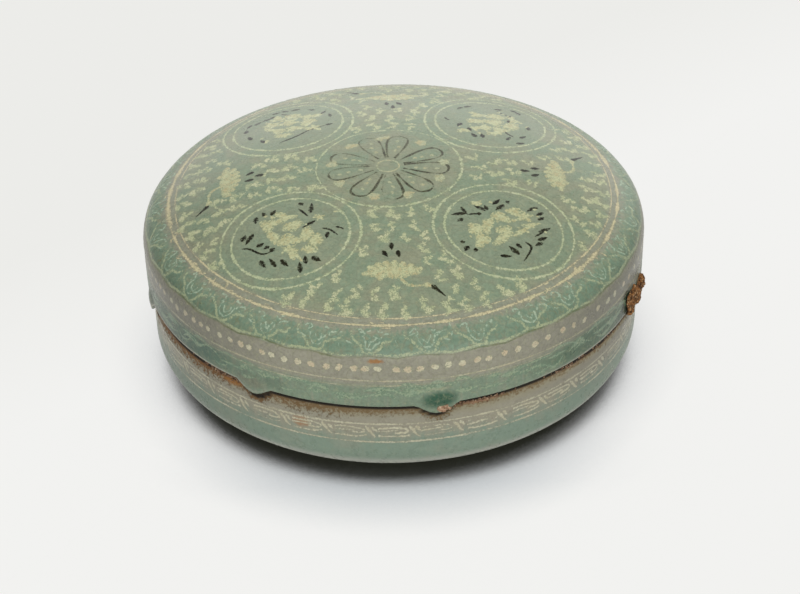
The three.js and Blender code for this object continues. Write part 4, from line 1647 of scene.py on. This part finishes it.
class COVERED_BOX_OT_clouds(Maker, bpy.types.Operator):
    """Cloud stamps in rings about the middle: three small ragged lobes in a crooked row along the radius."""

    bl_idname = "covered_box.clouds"
    bl_label = "Cloud Stamps"

    def places(self, draw):
        """Even places on each ring with small shifts, without those on rings, medallions and cranes."""
        places = []
        for radius in CLOUD_ROWS:
            count = int(TURN * radius / size("cloud_spacing"))
            turn = (np.arange(count) + draw.uniform() + draw.normal(0, 0.07, count)) * TURN / count
            reach = radius + draw.normal(0, 0.55, count)
            places.append(in_plan(reach, turn))
        places = np.concatenate(places)
        away = np.linalg.norm(places - CENTRE_RING_MIDDLE, axis=1)
        keep = away > size("centre_ring") + CLEAR_OF_CENTRE
        for middle in MEDALLIONS.values():
            away = np.linalg.norm(places - middle, axis=1)
            keep &= away > size("medallion_outer") + CLEAR_OF_MEDALLION
        for quarter_turn in range(4):
            x, y = (places @ turned_in_plan(-quarter_turn * TURN / 4)).T
            for left, right, front, back in CRANE_ROOMS:
                keep &= (x < left) | (x > right) | (y < front) | (y > back)
        return places[keep]

    def execute(self, context):
        draw = np.random.default_rng(74)
        places = self.places(draw)
        count = len(places)
        x, y = (places / np.linalg.norm(places, axis=1)[:, None]).T
        lean = draw.normal(0, 0.25, count)
        along = (x * np.cos(lean) - y * np.sin(lean), x * np.sin(lean) + y * np.cos(lean))
        along = np.stack(along, axis=1)
        across = np.stack([along[:, 1], -along[:, 0]], axis=1)
        tilt = np.degrees(np.arctan2(across[:, 1], across[:, 0]))
        grow = draw.uniform(0.8, 1.15, count)[:, None]
        parts = []
        for right_by, up_by, wide, tall in CLOUD_LOBES:
            shift = draw.normal(0, 0.22, (count, 2))
            middle = places + grow * (across * (right_by + shift[:, :1]) + along * (up_by + shift[:, 1:]))
            sizes = np.tile((wide, tall), (count, 1)) * grow * draw.uniform(0.75, 1.2, (count, 2))
            strength = draw.uniform(0.6, 1.1, count)
            outlines = rough_outlines(sizes, tilt, 12, draw, 0.42)
            parts.append(blobs(middle, outlines, on_dome, strength, 0.4))
        add_inlay("cloud_stamps", parts, "cream_slip_clouds")
        return {"FINISHED"}


# One ruyi head, in millimetres across the unit and below the border ring: the pod that hangs down onto the
# scalloped border, then the fine curls inside and beside it.
RUYI_ARMS = (
    ((-7.0, 1.0), (-7.9, 2.8), (-7.4, 4.6), (-5.6, 5.8), (-4.0, 7.2), (-2.6, 9.0), (-0.4, 10.1), (0.4, 10.1)),
    ((-0.4, 10.1), (1.4, 9.6), (2.8, 8.0), (4.2, 6.4), (6.0, 5.8), (7.4, 5.2), (7.8, 4.0)),
)
RUYI_CURLS = (
    ((-3.2, 4.0), (-2.9, 6.0), (-1.6, 7.8), (0.0, 8.4), (1.5, 7.4), (2.2, 5.8), (2.6, 4.2)),
    ((-1.5, 4.6), (-0.8, 6.0), (0.1, 6.6), (0.9, 5.6), (1.3, 4.4)),
    ((-5.6, 2.2), (-4.4, 1.5), (-3.2, 2.0), (-3.0, 3.2), (-4.0, 4.0)),
    ((3.4, 4.6), (4.2, 3.4), (5.4, 2.8), (6.4, 3.0)),
    ((1.6, 1.4), (2.4, 2.4), (3.6, 2.0)),
)
# How wide the unit is that the points are drawn for, and how far the first head lies from the front.
RUYI_UNIT = 18.4
RUYI_SHIFT = -7.8
# Loose short dashes of slip that lie between the heads.
RUYI_DASHES = 110
RUYI_STATIONS = 28
SCALLOP_STATIONS = 1200
SCALLOP_HEIGHT = 57.5
# How far below the border its olive line runs: pooled glaze, drawn darker as a painted shadow.
SHADE_LINE_DROP = 0.85


def scallops(u, count):
    """Height of the scalloped lower edge of the ruyi band, as length up the face.

    A wave for each head, a slow wave over the lot, and a small rectified wave that gives each a point.
    """
    phase = u / (TURN * LID_RADIUS) * count * TURN
    uneven = 0.2 * np.sin(0.4 * phase + 1) + 0.2 * np.abs(np.sin(1.5 * phase))
    return LID_LINE.at_height(SCALLOP_HEIGHT) - 0.4 * np.cos(phase) + uneven


class COVERED_BOX_OT_ruyi_band(Maker, bpy.types.Operator):
    """A ring of ruyi heads in thin pale lines under the border ring, with loose dashes between them.

    Its lower edge is a scalloped border with an olive line under it. The heads' arms are a part of the
    border's mesh, and the curls and dashes are the other piece.
    """

    bl_idname = "covered_box.ruyi_band"
    bl_label = "Ruyi Band"

    def heads(self, draw, count, top):
        """The heads' arms and curls: each is the plan's points, stretched, shifted and shaken a little."""
        pitch = TURN * LID_RADIUS / count
        arms, curls = ([], [], []), ([], [], [])
        for unit in range(count):
            stretch, shift = draw.uniform(0.92, 1.06), draw.normal(0, 0.5)
            for points in (*RUYI_ARMS, *RUYI_CURLS):
                bold = points in RUYI_ARMS
                lines, half, strength = arms if bold else curls
                shape = np.array(points, float)
                shape += draw.normal(0, 0.26, shape.shape)
                u = (shape[:, 0] * stretch + shift) * pitch / RUYI_UNIT + unit * pitch + RUYI_SHIFT
                lines.append(smooth_line(np.stack([u, top - 0.2 - shape[:, 1]], axis=1), RUYI_STATIONS))
                ragged = taper(RUYI_STATIONS, draw.uniform(0.0, 1.0, 8))
                drop = shape[:, 1].max() - 4 - taper(RUYI_STATIONS, shape[:, 1])
                low = np.clip(drop / 4, 0, 1)
                half.append(0.42 - 0.2 * low + 0.22 * ragged if bold else 0.22 + 0.2 * ragged)
                strength.append(0.9 - 0.4 * low - 0.4 * ragged if bold else 0.4 + 0.4 * ragged)
        return [ribbons(lines, half, on_lid_wall, strength) for lines, half, strength in (arms, curls)]

    def dashes(self, draw, top):
        """Loose dashes anywhere round the band, each at one of a few slants."""
        columns = (
            draw.uniform(0, TURN * LID_RADIUS, RUYI_DASHES),
            top - draw.uniform(1.2, 8.2, RUYI_DASHES),
            draw.uniform(1.2, 3.2, RUYI_DASHES),
            draw.choice((20, 70, 90, 115, 160), RUYI_DASHES),
        )
        lines, half = short_strokes(np.stack(columns, axis=1), 0.6)
        return ribbons(lines, half, on_lid_wall, draw.uniform(0.35, 0.95, (RUYI_DASHES, 1)))

    def execute(self, context):
        draw = np.random.default_rng(85)
        heads = bpy.context.scene.covered_box_sizes.ruyi_count
        top = LID_LINE.at_radius(size("border_ring"))
        arms, curls = self.heads(draw, heads, top)
        add_inlay("ruyi_heads", [curls, self.dashes(draw, top)], "pale_slip_ruyi", LID_STRIPS)
        count = SCALLOP_STATIONS
        u = np.linspace(0, TURN * LID_RADIUS, count, endpoint=False)
        line = np.stack([u, scallops(u, heads)], axis=1)
        half, shown = uneven_width(count, 12, 0.28, 0.62), uneven_width(count, 13, 0.4, 1.0)
        parts = [ring_ribbon(line, half, on_lid_wall, shown), arms]
        add_inlay("scalloped_border", parts, "cream_slip_border", LID_STRIPS)
        line = line - (0, SHADE_LINE_DROP)
        half, shown = uneven_width(count, 14, 0.2, 0.42), uneven_width(count, 15, 0.3, 0.8)
        parts = [ring_ribbon(line, half, on_lid_wall, shown)]
        add_inlay("scallop_shade_line", parts, "olive_glaze_and_shadow_line", LID_STRIPS)
        return {"FINISHED"}


def ring_ribbon(line, half, place, strength):
    """A ribbon right round a wall, whose last station joins the first across the wrap."""
    count = len(line)
    around = line[-1, 0] + line[1, 0] - 2 * line[0, 0]
    placed_line = np.concatenate((line, [[line[0, 0] + around, line[0, 1]]]))
    part = ribbons([placed_line], np.append(half, half[0]), place, np.append(strength, strength[0]))
    for values in ("points", "normals", "core"):
        part[values] = part[values][:, :count]
    part["faces"] = triangles(grid_faces(count, 4, wrap_rows=True))
    return part


# How far apart the beads are, by degrees round the wall from the front.
BEAD_STEPS = ((-180, 1), (14, 1), (30, 1.3), (64, 1.3), (84, 1), (180, 1))


class COVERED_BOX_OT_bead_row(Maker, bpy.types.Operator):
    """Round cream beads on the grey-brown ground, unevenly spaced and set.

    Their places are even shares of the running total of how close they stand, plus a small shift.
    """

    bl_idname = "covered_box.bead_row"
    bl_label = "Bead Row"

    def execute(self, context):
        draw = np.random.default_rng(96)
        count = bpy.context.scene.covered_box_sizes.bead_count
        around = np.linspace(-180, 180, 721)
        passed = np.cumsum(1 / np.interp(around, *np.transpose(BEAD_STEPS)))
        step = (np.arange(count) + draw.normal(0, 0.09, count)) * passed[-1] / count
        u = np.radians(np.interp(step, passed, around)) * LID_RADIUS
        v = LID_LINE.at_height(size("bead_height")) + draw.normal(0, 0.28, count)
        sizes = size("bead_width") * draw.uniform(0.86, 1.1, (count, 2))
        sizes *= np.interp(np.abs(u), (30, 75), (1, 0.88))[:, None]
        outlines = rough_outlines(sizes, draw.uniform(0, 180, count), 16, draw, 0.12)
        strength = draw.uniform(0.75, 1.0, count)
        beads = blobs(np.stack([u, v], axis=1), outlines, on_lid_wall, strength, 0.75)
        add_inlay("bead_row", [beads], "cream_slip_beads", LID_STRIPS)
        return {"FINISHED"}


FINE_RING_STATIONS = 900
# Fine lines round lid and body: height, seed, low and high half width, and if not the usual, wobble and fade.
LID_FINE_LINES = ((47.9, 17, 0.2, 0.4), (45.8, 19, 0.1, 0.3, 0.15, 0.5))
BODY_FINE_LINES = ((28.6, 23, 0.26, 0.46), (21.3, 25, 0.22, 0.4))


def full_ring(line, height, seed, low, high, wobble=0.12, fade=0.0):
    """A thin line round a wall at a height, plus the wobble times half the sum of five slow waves."""
    count = FINE_RING_STATIONS
    radius, place = (LID_RADIUS, on_lid_wall) if line is LID_LINE else (BODY_RADIUS, on_body_wall)
    u = np.linspace(0, TURN * radius, count, endpoint=False)
    v = line.at_height(height) + wobble * sum(np.sin(k * u / radius + k * seed) for k in (1, 2, 3, 5, 8)) / 2
    half, shown = uneven_width(count, seed, low, high), uneven_width(count, seed + 1, 0.4, 1.0, fade)
    return ring_ribbon(np.stack([u, v], axis=1), half, place, shown)


# Loose scrolls: how far apart their starts are, how many leave each, and where the front swelling lifts them.
SCROLL_PITCH = 9.4
SCROLLS_AT_EACH = 3
SCROLL_STATIONS = 16
FRONT_SWELLING_AT = 13.2
FRONT_SWELLING_REACH = 9.0


class COVERED_BOX_OT_lid_wall_lines(Maker, bpy.types.Operator):
    """Two fine lines under the beads and loose scrolls of thin slip low on the lid's wall."""

    bl_idname = "covered_box.lid_wall_lines"
    bl_label = "Lines on the Lid's Wall"

    def execute(self, context):
        parts = [full_ring(LID_LINE, *row) for row in LID_FINE_LINES]
        add_inlay("lid_wall_lines", parts, "cream_slip_wall", LID_STRIPS)
        draw = np.random.default_rng(107)
        lines, half, strength = [], [], []
        for start in np.repeat(np.arange(0, TURN * LID_RADIUS, SCROLL_PITCH), SCROLLS_AT_EACH):
            length, rise = draw.uniform(5.0, 14.0), draw.uniform(-2.4, 2.4)
            u = start + draw.uniform(-3, 3)
            v = draw.uniform(3.4, 8.4)
            if abs(u + length / 2 - FRONT_SWELLING_AT) < FRONT_SWELLING_REACH:
                v = draw.uniform(7.0, 8.4)
            first, second = (u + length * 0.3, v + rise * 0.9), (u + length * 0.7, v + rise * 0.6)
            points = [(u, v), first, second, (u + length, v - rise * 0.3)]
            lines.append(smooth_line(points, SCROLL_STATIONS))
            peak = draw.uniform(0.35, 1.0)
            half.append(taper(SCROLL_STATIONS, (0.1, peak, 0.12), (0, 0.4, 1)))
            strength.append(np.full(SCROLL_STATIONS, draw.uniform(0.4, 0.95)))
        scrolls = ribbons(lines, half, on_lid_wall, strength)
        add_inlay("lid_wall_scrolls", [scrolls], "faint_slip_scrolls", LID_STRIPS)
        return {"FINISHED"}


# One unit of the key fret, in millimetres along the wall and up from the fret's foot, and its full length.
FRET_STROKES = (
    ((-6.6, 4.4), (-2.8, 4.7), (1.0, 4.5), (3.1, 3.9), (3.5, 2.9), (2.2, 2.3), (-0.8, 2.3)),
    ((-6.9, 2.9), (-4.2, 3.0), (-1.8, 3.3), (0.4, 3.4)),
    ((-6.3, 0.8), (-2.6, 0.6), (1.4, 0.8), (4.2, 1.4)),
)
FRET_SLANTS = (((4.0, 5.2), (5.0, 3.6), (6.2, 1.9), (7.4, 0.4)), ((6.3, 4.9), (7.0, 3.8), (7.8, 2.8)))
FRET_UNIT = 15.4
# Height of the fret's foot, for strokes and slants.
FRET_FOOT = 22.9
SLANT_FOOT = 22.8
FRET_STATIONS = 36
SLANT_STATIONS = 14


class COVERED_BOX_OT_key_fret(Maker, bpy.types.Operator):
    """Running fret units between two fine lines on the body, with bold slanted strokes after each."""

    bl_idname = "covered_box.key_fret"
    bl_label = "Key Fret"

    def execute(self, context):
        draw = np.random.default_rng(118)
        count = bpy.context.scene.covered_box_sizes.fret_count
        pitch = TURN * BODY_RADIUS / count
        fine, fine_half, fine_strength, bold, bold_half = [], [], [], [], []
        for unit in range(count):
            middle = (unit + draw.normal(0, 0.04)) * pitch
            for points in FRET_STROKES:
                fine_strength.append(np.full(FRET_STATIONS, draw.uniform(0.35, 1.0)))
                shape = np.array(points) * (pitch / FRET_UNIT, 0.9) + (middle, FRET_FOOT)
                fine.append(smooth_line(shape + draw.normal(0, 0.12, shape.shape), FRET_STATIONS))
                fine_half.append(taper(FRET_STATIONS, draw.uniform(0.26, 0.46, 7)))
            for points in FRET_SLANTS:
                shape = np.array(points) * (pitch / FRET_UNIT, 0.95) + (middle, SLANT_FOOT)
                bold.append(smooth_line(shape + draw.normal(0, 0.12, shape.shape), SLANT_STATIONS))
                bold_half.append(taper(SLANT_STATIONS, (0.3, 0.64, 0.24), (0, 0.3, 1)))
        parts = [
            *[full_ring(BODY_LINE, *row) for row in BODY_FINE_LINES],
            ribbons(fine, fine_half, on_body_wall, fine_strength),
            ribbons(bold, bold_half, on_body_wall, 0.9),
        ]
        add_inlay("key_fret_inlay", parts, "cream_slip_fret", BODY_STRIPS, "body")
        return {"FINISHED"}


# Where crumbs lie thickest, in degrees round from the front, how many there are and their highest place.
CRUMB_PLACES = (-38.0, -44.0, 16.0, 20.0, 42.0, 55.0, 130.0, 215.0)
CRUMBS = 420
CRUMB_TOP = 35.3


class COVERED_BOX_OT_seat_grit(Maker, bpy.types.Operator):
    """Crumbs of grit fired onto the bare clay under the lid's rim, standing three times as proud as slip."""

    bl_idname = "covered_box.seat_grit"
    bl_label = "Grit on the Seat"

    def execute(self, context):
        draw = np.random.default_rng(129)
        u = np.radians(draw.choice(CRUMB_PLACES, CRUMBS) + draw.normal(0, 3.4, CRUMBS)) * BODY_RADIUS
        v = CRUMB_TOP - np.abs(draw.normal(0, 0.8, CRUMBS))
        sizes = draw.uniform(0.3, 0.8, (CRUMBS, 2))
        outlines = rough_outlines(sizes, draw.uniform(0, 180, CRUMBS), 8, draw, 0.2)
        crumbs = blobs(np.stack([u, v], axis=1), outlines, lambda a, b, lift: on_body_wall(a, b, lift * 3))
        material = grit_material("crumbs_of_fired_grit", "#5A4030", "#A9876A", "#CDB396")
        add_piece("seat_grit_crumbs", [crumbs], "body", material, unwrap=BODY_STRIPS)
        return {"FINISHED"}


# Stage.

PHOTO_WIDTH = 800
FOCAL_PIXELS = 2119.97
SENSOR_WIDTH = 36.0
CAMERA_AIM = (1.653, 1.263, 18.014)
CAMERA_DISTANCE = 785.55
CAMERA_ELEVATION = 34.844
CAMERA_ROLL = 1.48
# Metres from the middle to the floor's edge.
FLOOR_REACH = 6.0
# How much of what the camera sees of the floor is its drawn tone and painted shadow; the rest is the lamps'
# own light.
DRAWN_SHARE = 0.97
# Lamps: name, kind, place in metres, power and settings of their own. All look at the box.
LAMPS_AIM = (0, 0, 0.04)
SUN_LOOK = {"angle": math.radians(100), "color": (1.0, 0.99, 0.97)}
LAMPS = (
    ("key_light", "SUN", (-0.1, 0.35, 1.2), 1.58, SUN_LOOK),
    ("fill_soft_box", "AREA", (0.3, -1.5, 0.9), 8.2, {"shape": "RECTANGLE", "size": 1.6, "size_y": 1.0}),
    ("back_soft_box", "AREA", (0.2, 1.6, 0.55), 4.6, {"shape": "RECTANGLE", "size": 2.4, "size_y": 0.7}),
)


def placed(axes, place):
    """The matrix of an object at a place, whose own right, up and back point along the axes' columns."""
    return Matrix([(*row, p) for row, p in zip(axes, place)] + [(0, 0, 0, 1)])


def lamp(name, kind, place, energy, settings):
    """A lamp at a place that looks at the box: its back points away from it and its right lies level."""
    light = bpy.data.lights.new(name, kind)
    light.energy = energy
    for key, value in settings.items():
        setattr(light, key, value)
    holder = in_scene(name, light)
    back = np.array(place, float) - np.array(LAMPS_AIM, float)
    back /= np.linalg.norm(back)
    right = np.cross((0, 0, 1), back)
    right /= np.linalg.norm(right)
    holder.matrix_world = placed(np.stack([right, np.cross(back, right), back], axis=1), place)


def paper_material():
    """Matt pale paper, rolled smooth: an even tone with hardly a shine.

    What the camera sees of it is a painted shadow on a pale tone: nearly white where the sky is open, darker
    by how much the box hides of the sky, and deeper and greyer in front. Light that bounces off it is that of
    the paper itself.
    """
    material = bpy.data.materials.new("matt_pale_paper")
    n = cleared(material)
    grain = n("TexNoise", {"Vector": n("TexCoord", out="Object"), "Scale": 2.0, "Detail": 2.0})
    value = n("MapRange", (grain, *NOISE, 0.99, 1.01))
    colour = n("HueSaturation", {"Color": "floor", "Value": value})
    shader = n("BsdfPrincipled", {"Base Color": colour, "Roughness": 0.95, "Specular IOR Level": 0.1})
    # Painted shadow: near black where the box hides most of the sky, a grey rim, then the open pale tone.
    open_sky = n("AmbientOcclusion", {"Distance": 0.05}, out="AO", samples=16)
    near = n("MapRange", (open_sky, 0.275, 0.57), **SMOOTH)
    spot = n("TexCoord", out="Object")
    forward = n("MapRange", (n("SeparateXYZ", (spot,), out=1), -0.085, -0.055))
    away = n("Math.MULTIPLY_ADD", (forward, 0.07, open_sky))
    open_share = n("MapRange", (away, 0.56, 0.8))
    edge = n("Mix", {SHARE: forward, FROM: "#C8CCCE", TO: "#DADBDB"}, **COLOUR_MIX)
    far = n("VectorMath.DOT_PRODUCT", (spot, (-0.6, 0.8, 0.0)), out=1)
    open_floor = laid_over(n, "#F2F2F0", "#ECECE9", far, 0.04, 0.14)
    shade = n("Mix", {SHARE: open_share, FROM: edge, TO: open_floor}, **COLOUR_MIX)
    shade = n("Mix", {SHARE: near, FROM: "#1B1C15", TO: shade}, **COLOUR_MIX)
    drawn = n("Emission", {"Color": shade, "Strength": 1.0})
    seen = n("Math.MULTIPLY", (n("LightPath", out="Is Camera Ray"), DRAWN_SHARE))
    n("OutputMaterial", {"Surface": n("MixShader", (seen, shader, drawn))}, out=None)
    return material


def even_sky():
    """A pale sky, brighter overhead and dimmer to both sides, with a dim left in what the glaze mirrors."""
    world = bpy.data.worlds.new("even_sky")
    n = cleared(world)
    x, _, up = n("SeparateXYZ", (n("TexCoord", out="Generated"),), out=None).outputs
    left = n("MapRange", (x, -1.0, -0.1, 0.03, 1.0))
    right = n("MapRange", (x, 0.1, 1.0, 1.0, 0.35))
    side = n("Math.MULTIPLY", (left, right))
    sideways = n("Math.ABSOLUTE", (x,))
    sides = n("MapRange", (sideways, 0.2, 1.0, 0.95, 0.3))
    level = n("MapRange", (up, 0.0, 0.7, 0.28, 0.56))
    level = n("Math.MULTIPLY", (sides, level))
    sky = n("Background", {"Color": (1.0, 0.99, 0.97, 1.0), "Strength": level})
    low = n("MapRange", (up, 0.2, 0.6, 1.0, 0.25))
    level = n("Math.MULTIPLY", (side, low))
    mirrored = n("Background", {"Color": "floor", "Strength": level})
    shown = n("Background", {"Color": "floor", "Strength": 1.0})
    rays = n("LightPath", out=None).outputs
    both = n("MixShader", (rays["Is Glossy Ray"], sky, mirrored))
    both = n("MixShader", (rays["Is Camera Ray"], both, shown))
    n("OutputWorld", {"Surface": both}, out=None)
    return world


def photo_camera():
    """The camera: it aims at a point from a distance and an elevation, and is rolled about its own axis."""
    lens = bpy.data.cameras.new("photo_camera")
    lens.sensor_width = SENSOR_WIDTH
    lens.lens = FOCAL_PIXELS * SENSOR_WIDTH / PHOTO_WIDTH
    lens.clip_start, lens.clip_end = 0.01, 50
    camera = in_scene("photo_camera", lens)
    e, roll = math.radians(CAMERA_ELEVATION), math.radians(CAMERA_ROLL)
    right = np.array((1.0, 0, 0))
    up = np.array((0, math.sin(e), math.cos(e)))
    ahead = np.array((0, math.cos(e), -math.sin(e)))
    place = (np.array(CAMERA_AIM) - CAMERA_DISTANCE * ahead) * MM
    rolled_right = math.cos(roll) * right - math.sin(roll) * up
    rolled_up = math.sin(roll) * right + math.cos(roll) * up
    camera.matrix_world = placed(np.stack((rolled_right, rolled_up, -ahead), axis=1), place)
    return camera


class COVERED_BOX_OT_stage(Maker, bpy.types.Operator):
    """Pale floor, even sky, a broad soft sun from above, two soft boxes and the camera."""

    bl_idname = "covered_box.stage"
    bl_label = "Stage"

    def execute(self, context):
        scene = bpy.context.scene
        reach = FLOOR_REACH
        corners = np.array(((-reach, -reach, 0), (reach, -reach, 0), (reach, reach, 0), (-reach, reach, 0)))
        mesh = bpy.data.meshes.new("pale_floor")
        mesh.from_pydata(corners, [], [(0, 1, 2, 3)])
        mesh.materials.append(paper_material())
        floor = in_scene("pale_floor", mesh)
        scene.world = even_sky()
        for row in LAMPS:
            lamp(*row)
        bpy.data.objects["key_light"].visible_glossy = False
        scene.camera = photo_camera()
        scene.view_settings.view_transform = "Standard"
        return {"FINISHED"}


class VIEW3D_PT_covered_box(bpy.types.Panel):
    """Lists the pieces, and the sizes and colours that they are made with."""

    bl_label = "Covered Box"
    bl_idname = "VIEW3D_PT_covered_box"
    bl_space_type = "VIEW_3D"
    bl_region_type = "UI"
    bl_category = "Covered Box"

    def draw(self, context):
        column = self.layout.column()
        for operator in OPERATORS:
            column.operator(operator.bl_idname)
        for owner in (context.scene.covered_box_sizes, context.scene.covered_box_colours):
            for name in owner.__annotations__:
                column.prop(owner, name)


OPERATORS = (
    COVERED_BOX_OT_lid_shell,
    COVERED_BOX_OT_body_shell,
    COVERED_BOX_OT_kiln_grit,
    COVERED_BOX_OT_lid_rings,
    COVERED_BOX_OT_chrysanthemum,
    COVERED_BOX_OT_peonies,
    COVERED_BOX_OT_cranes,
    COVERED_BOX_OT_clouds,
    COVERED_BOX_OT_ruyi_band,
    COVERED_BOX_OT_bead_row,
    COVERED_BOX_OT_lid_wall_lines,
    COVERED_BOX_OT_key_fret,
    COVERED_BOX_OT_seat_grit,
    COVERED_BOX_OT_stage,
)
CLASSES = (CoveredBoxSizes, CoveredBoxColours, *OPERATORS, VIEW3D_PT_covered_box)


def register():
    for cls in CLASSES:
        bpy.utils.register_class(cls)
    bpy.types.Scene.covered_box_sizes = PointerProperty(type=CoveredBoxSizes)
    bpy.types.Scene.covered_box_colours = PointerProperty(type=CoveredBoxColours)


def unregister():
    del bpy.types.Scene.covered_box_colours
    del bpy.types.Scene.covered_box_sizes
    for cls in reversed(CLASSES):
        bpy.utils.unregister_class(cls)


def main():
    """Registers the classes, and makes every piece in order."""
    register()
    for operator in OPERATORS:
        group_name, step = operator.bl_idname.split(".")
        getattr(getattr(bpy.ops, group_name), step)()


if __name__ == "__main__":
    main()
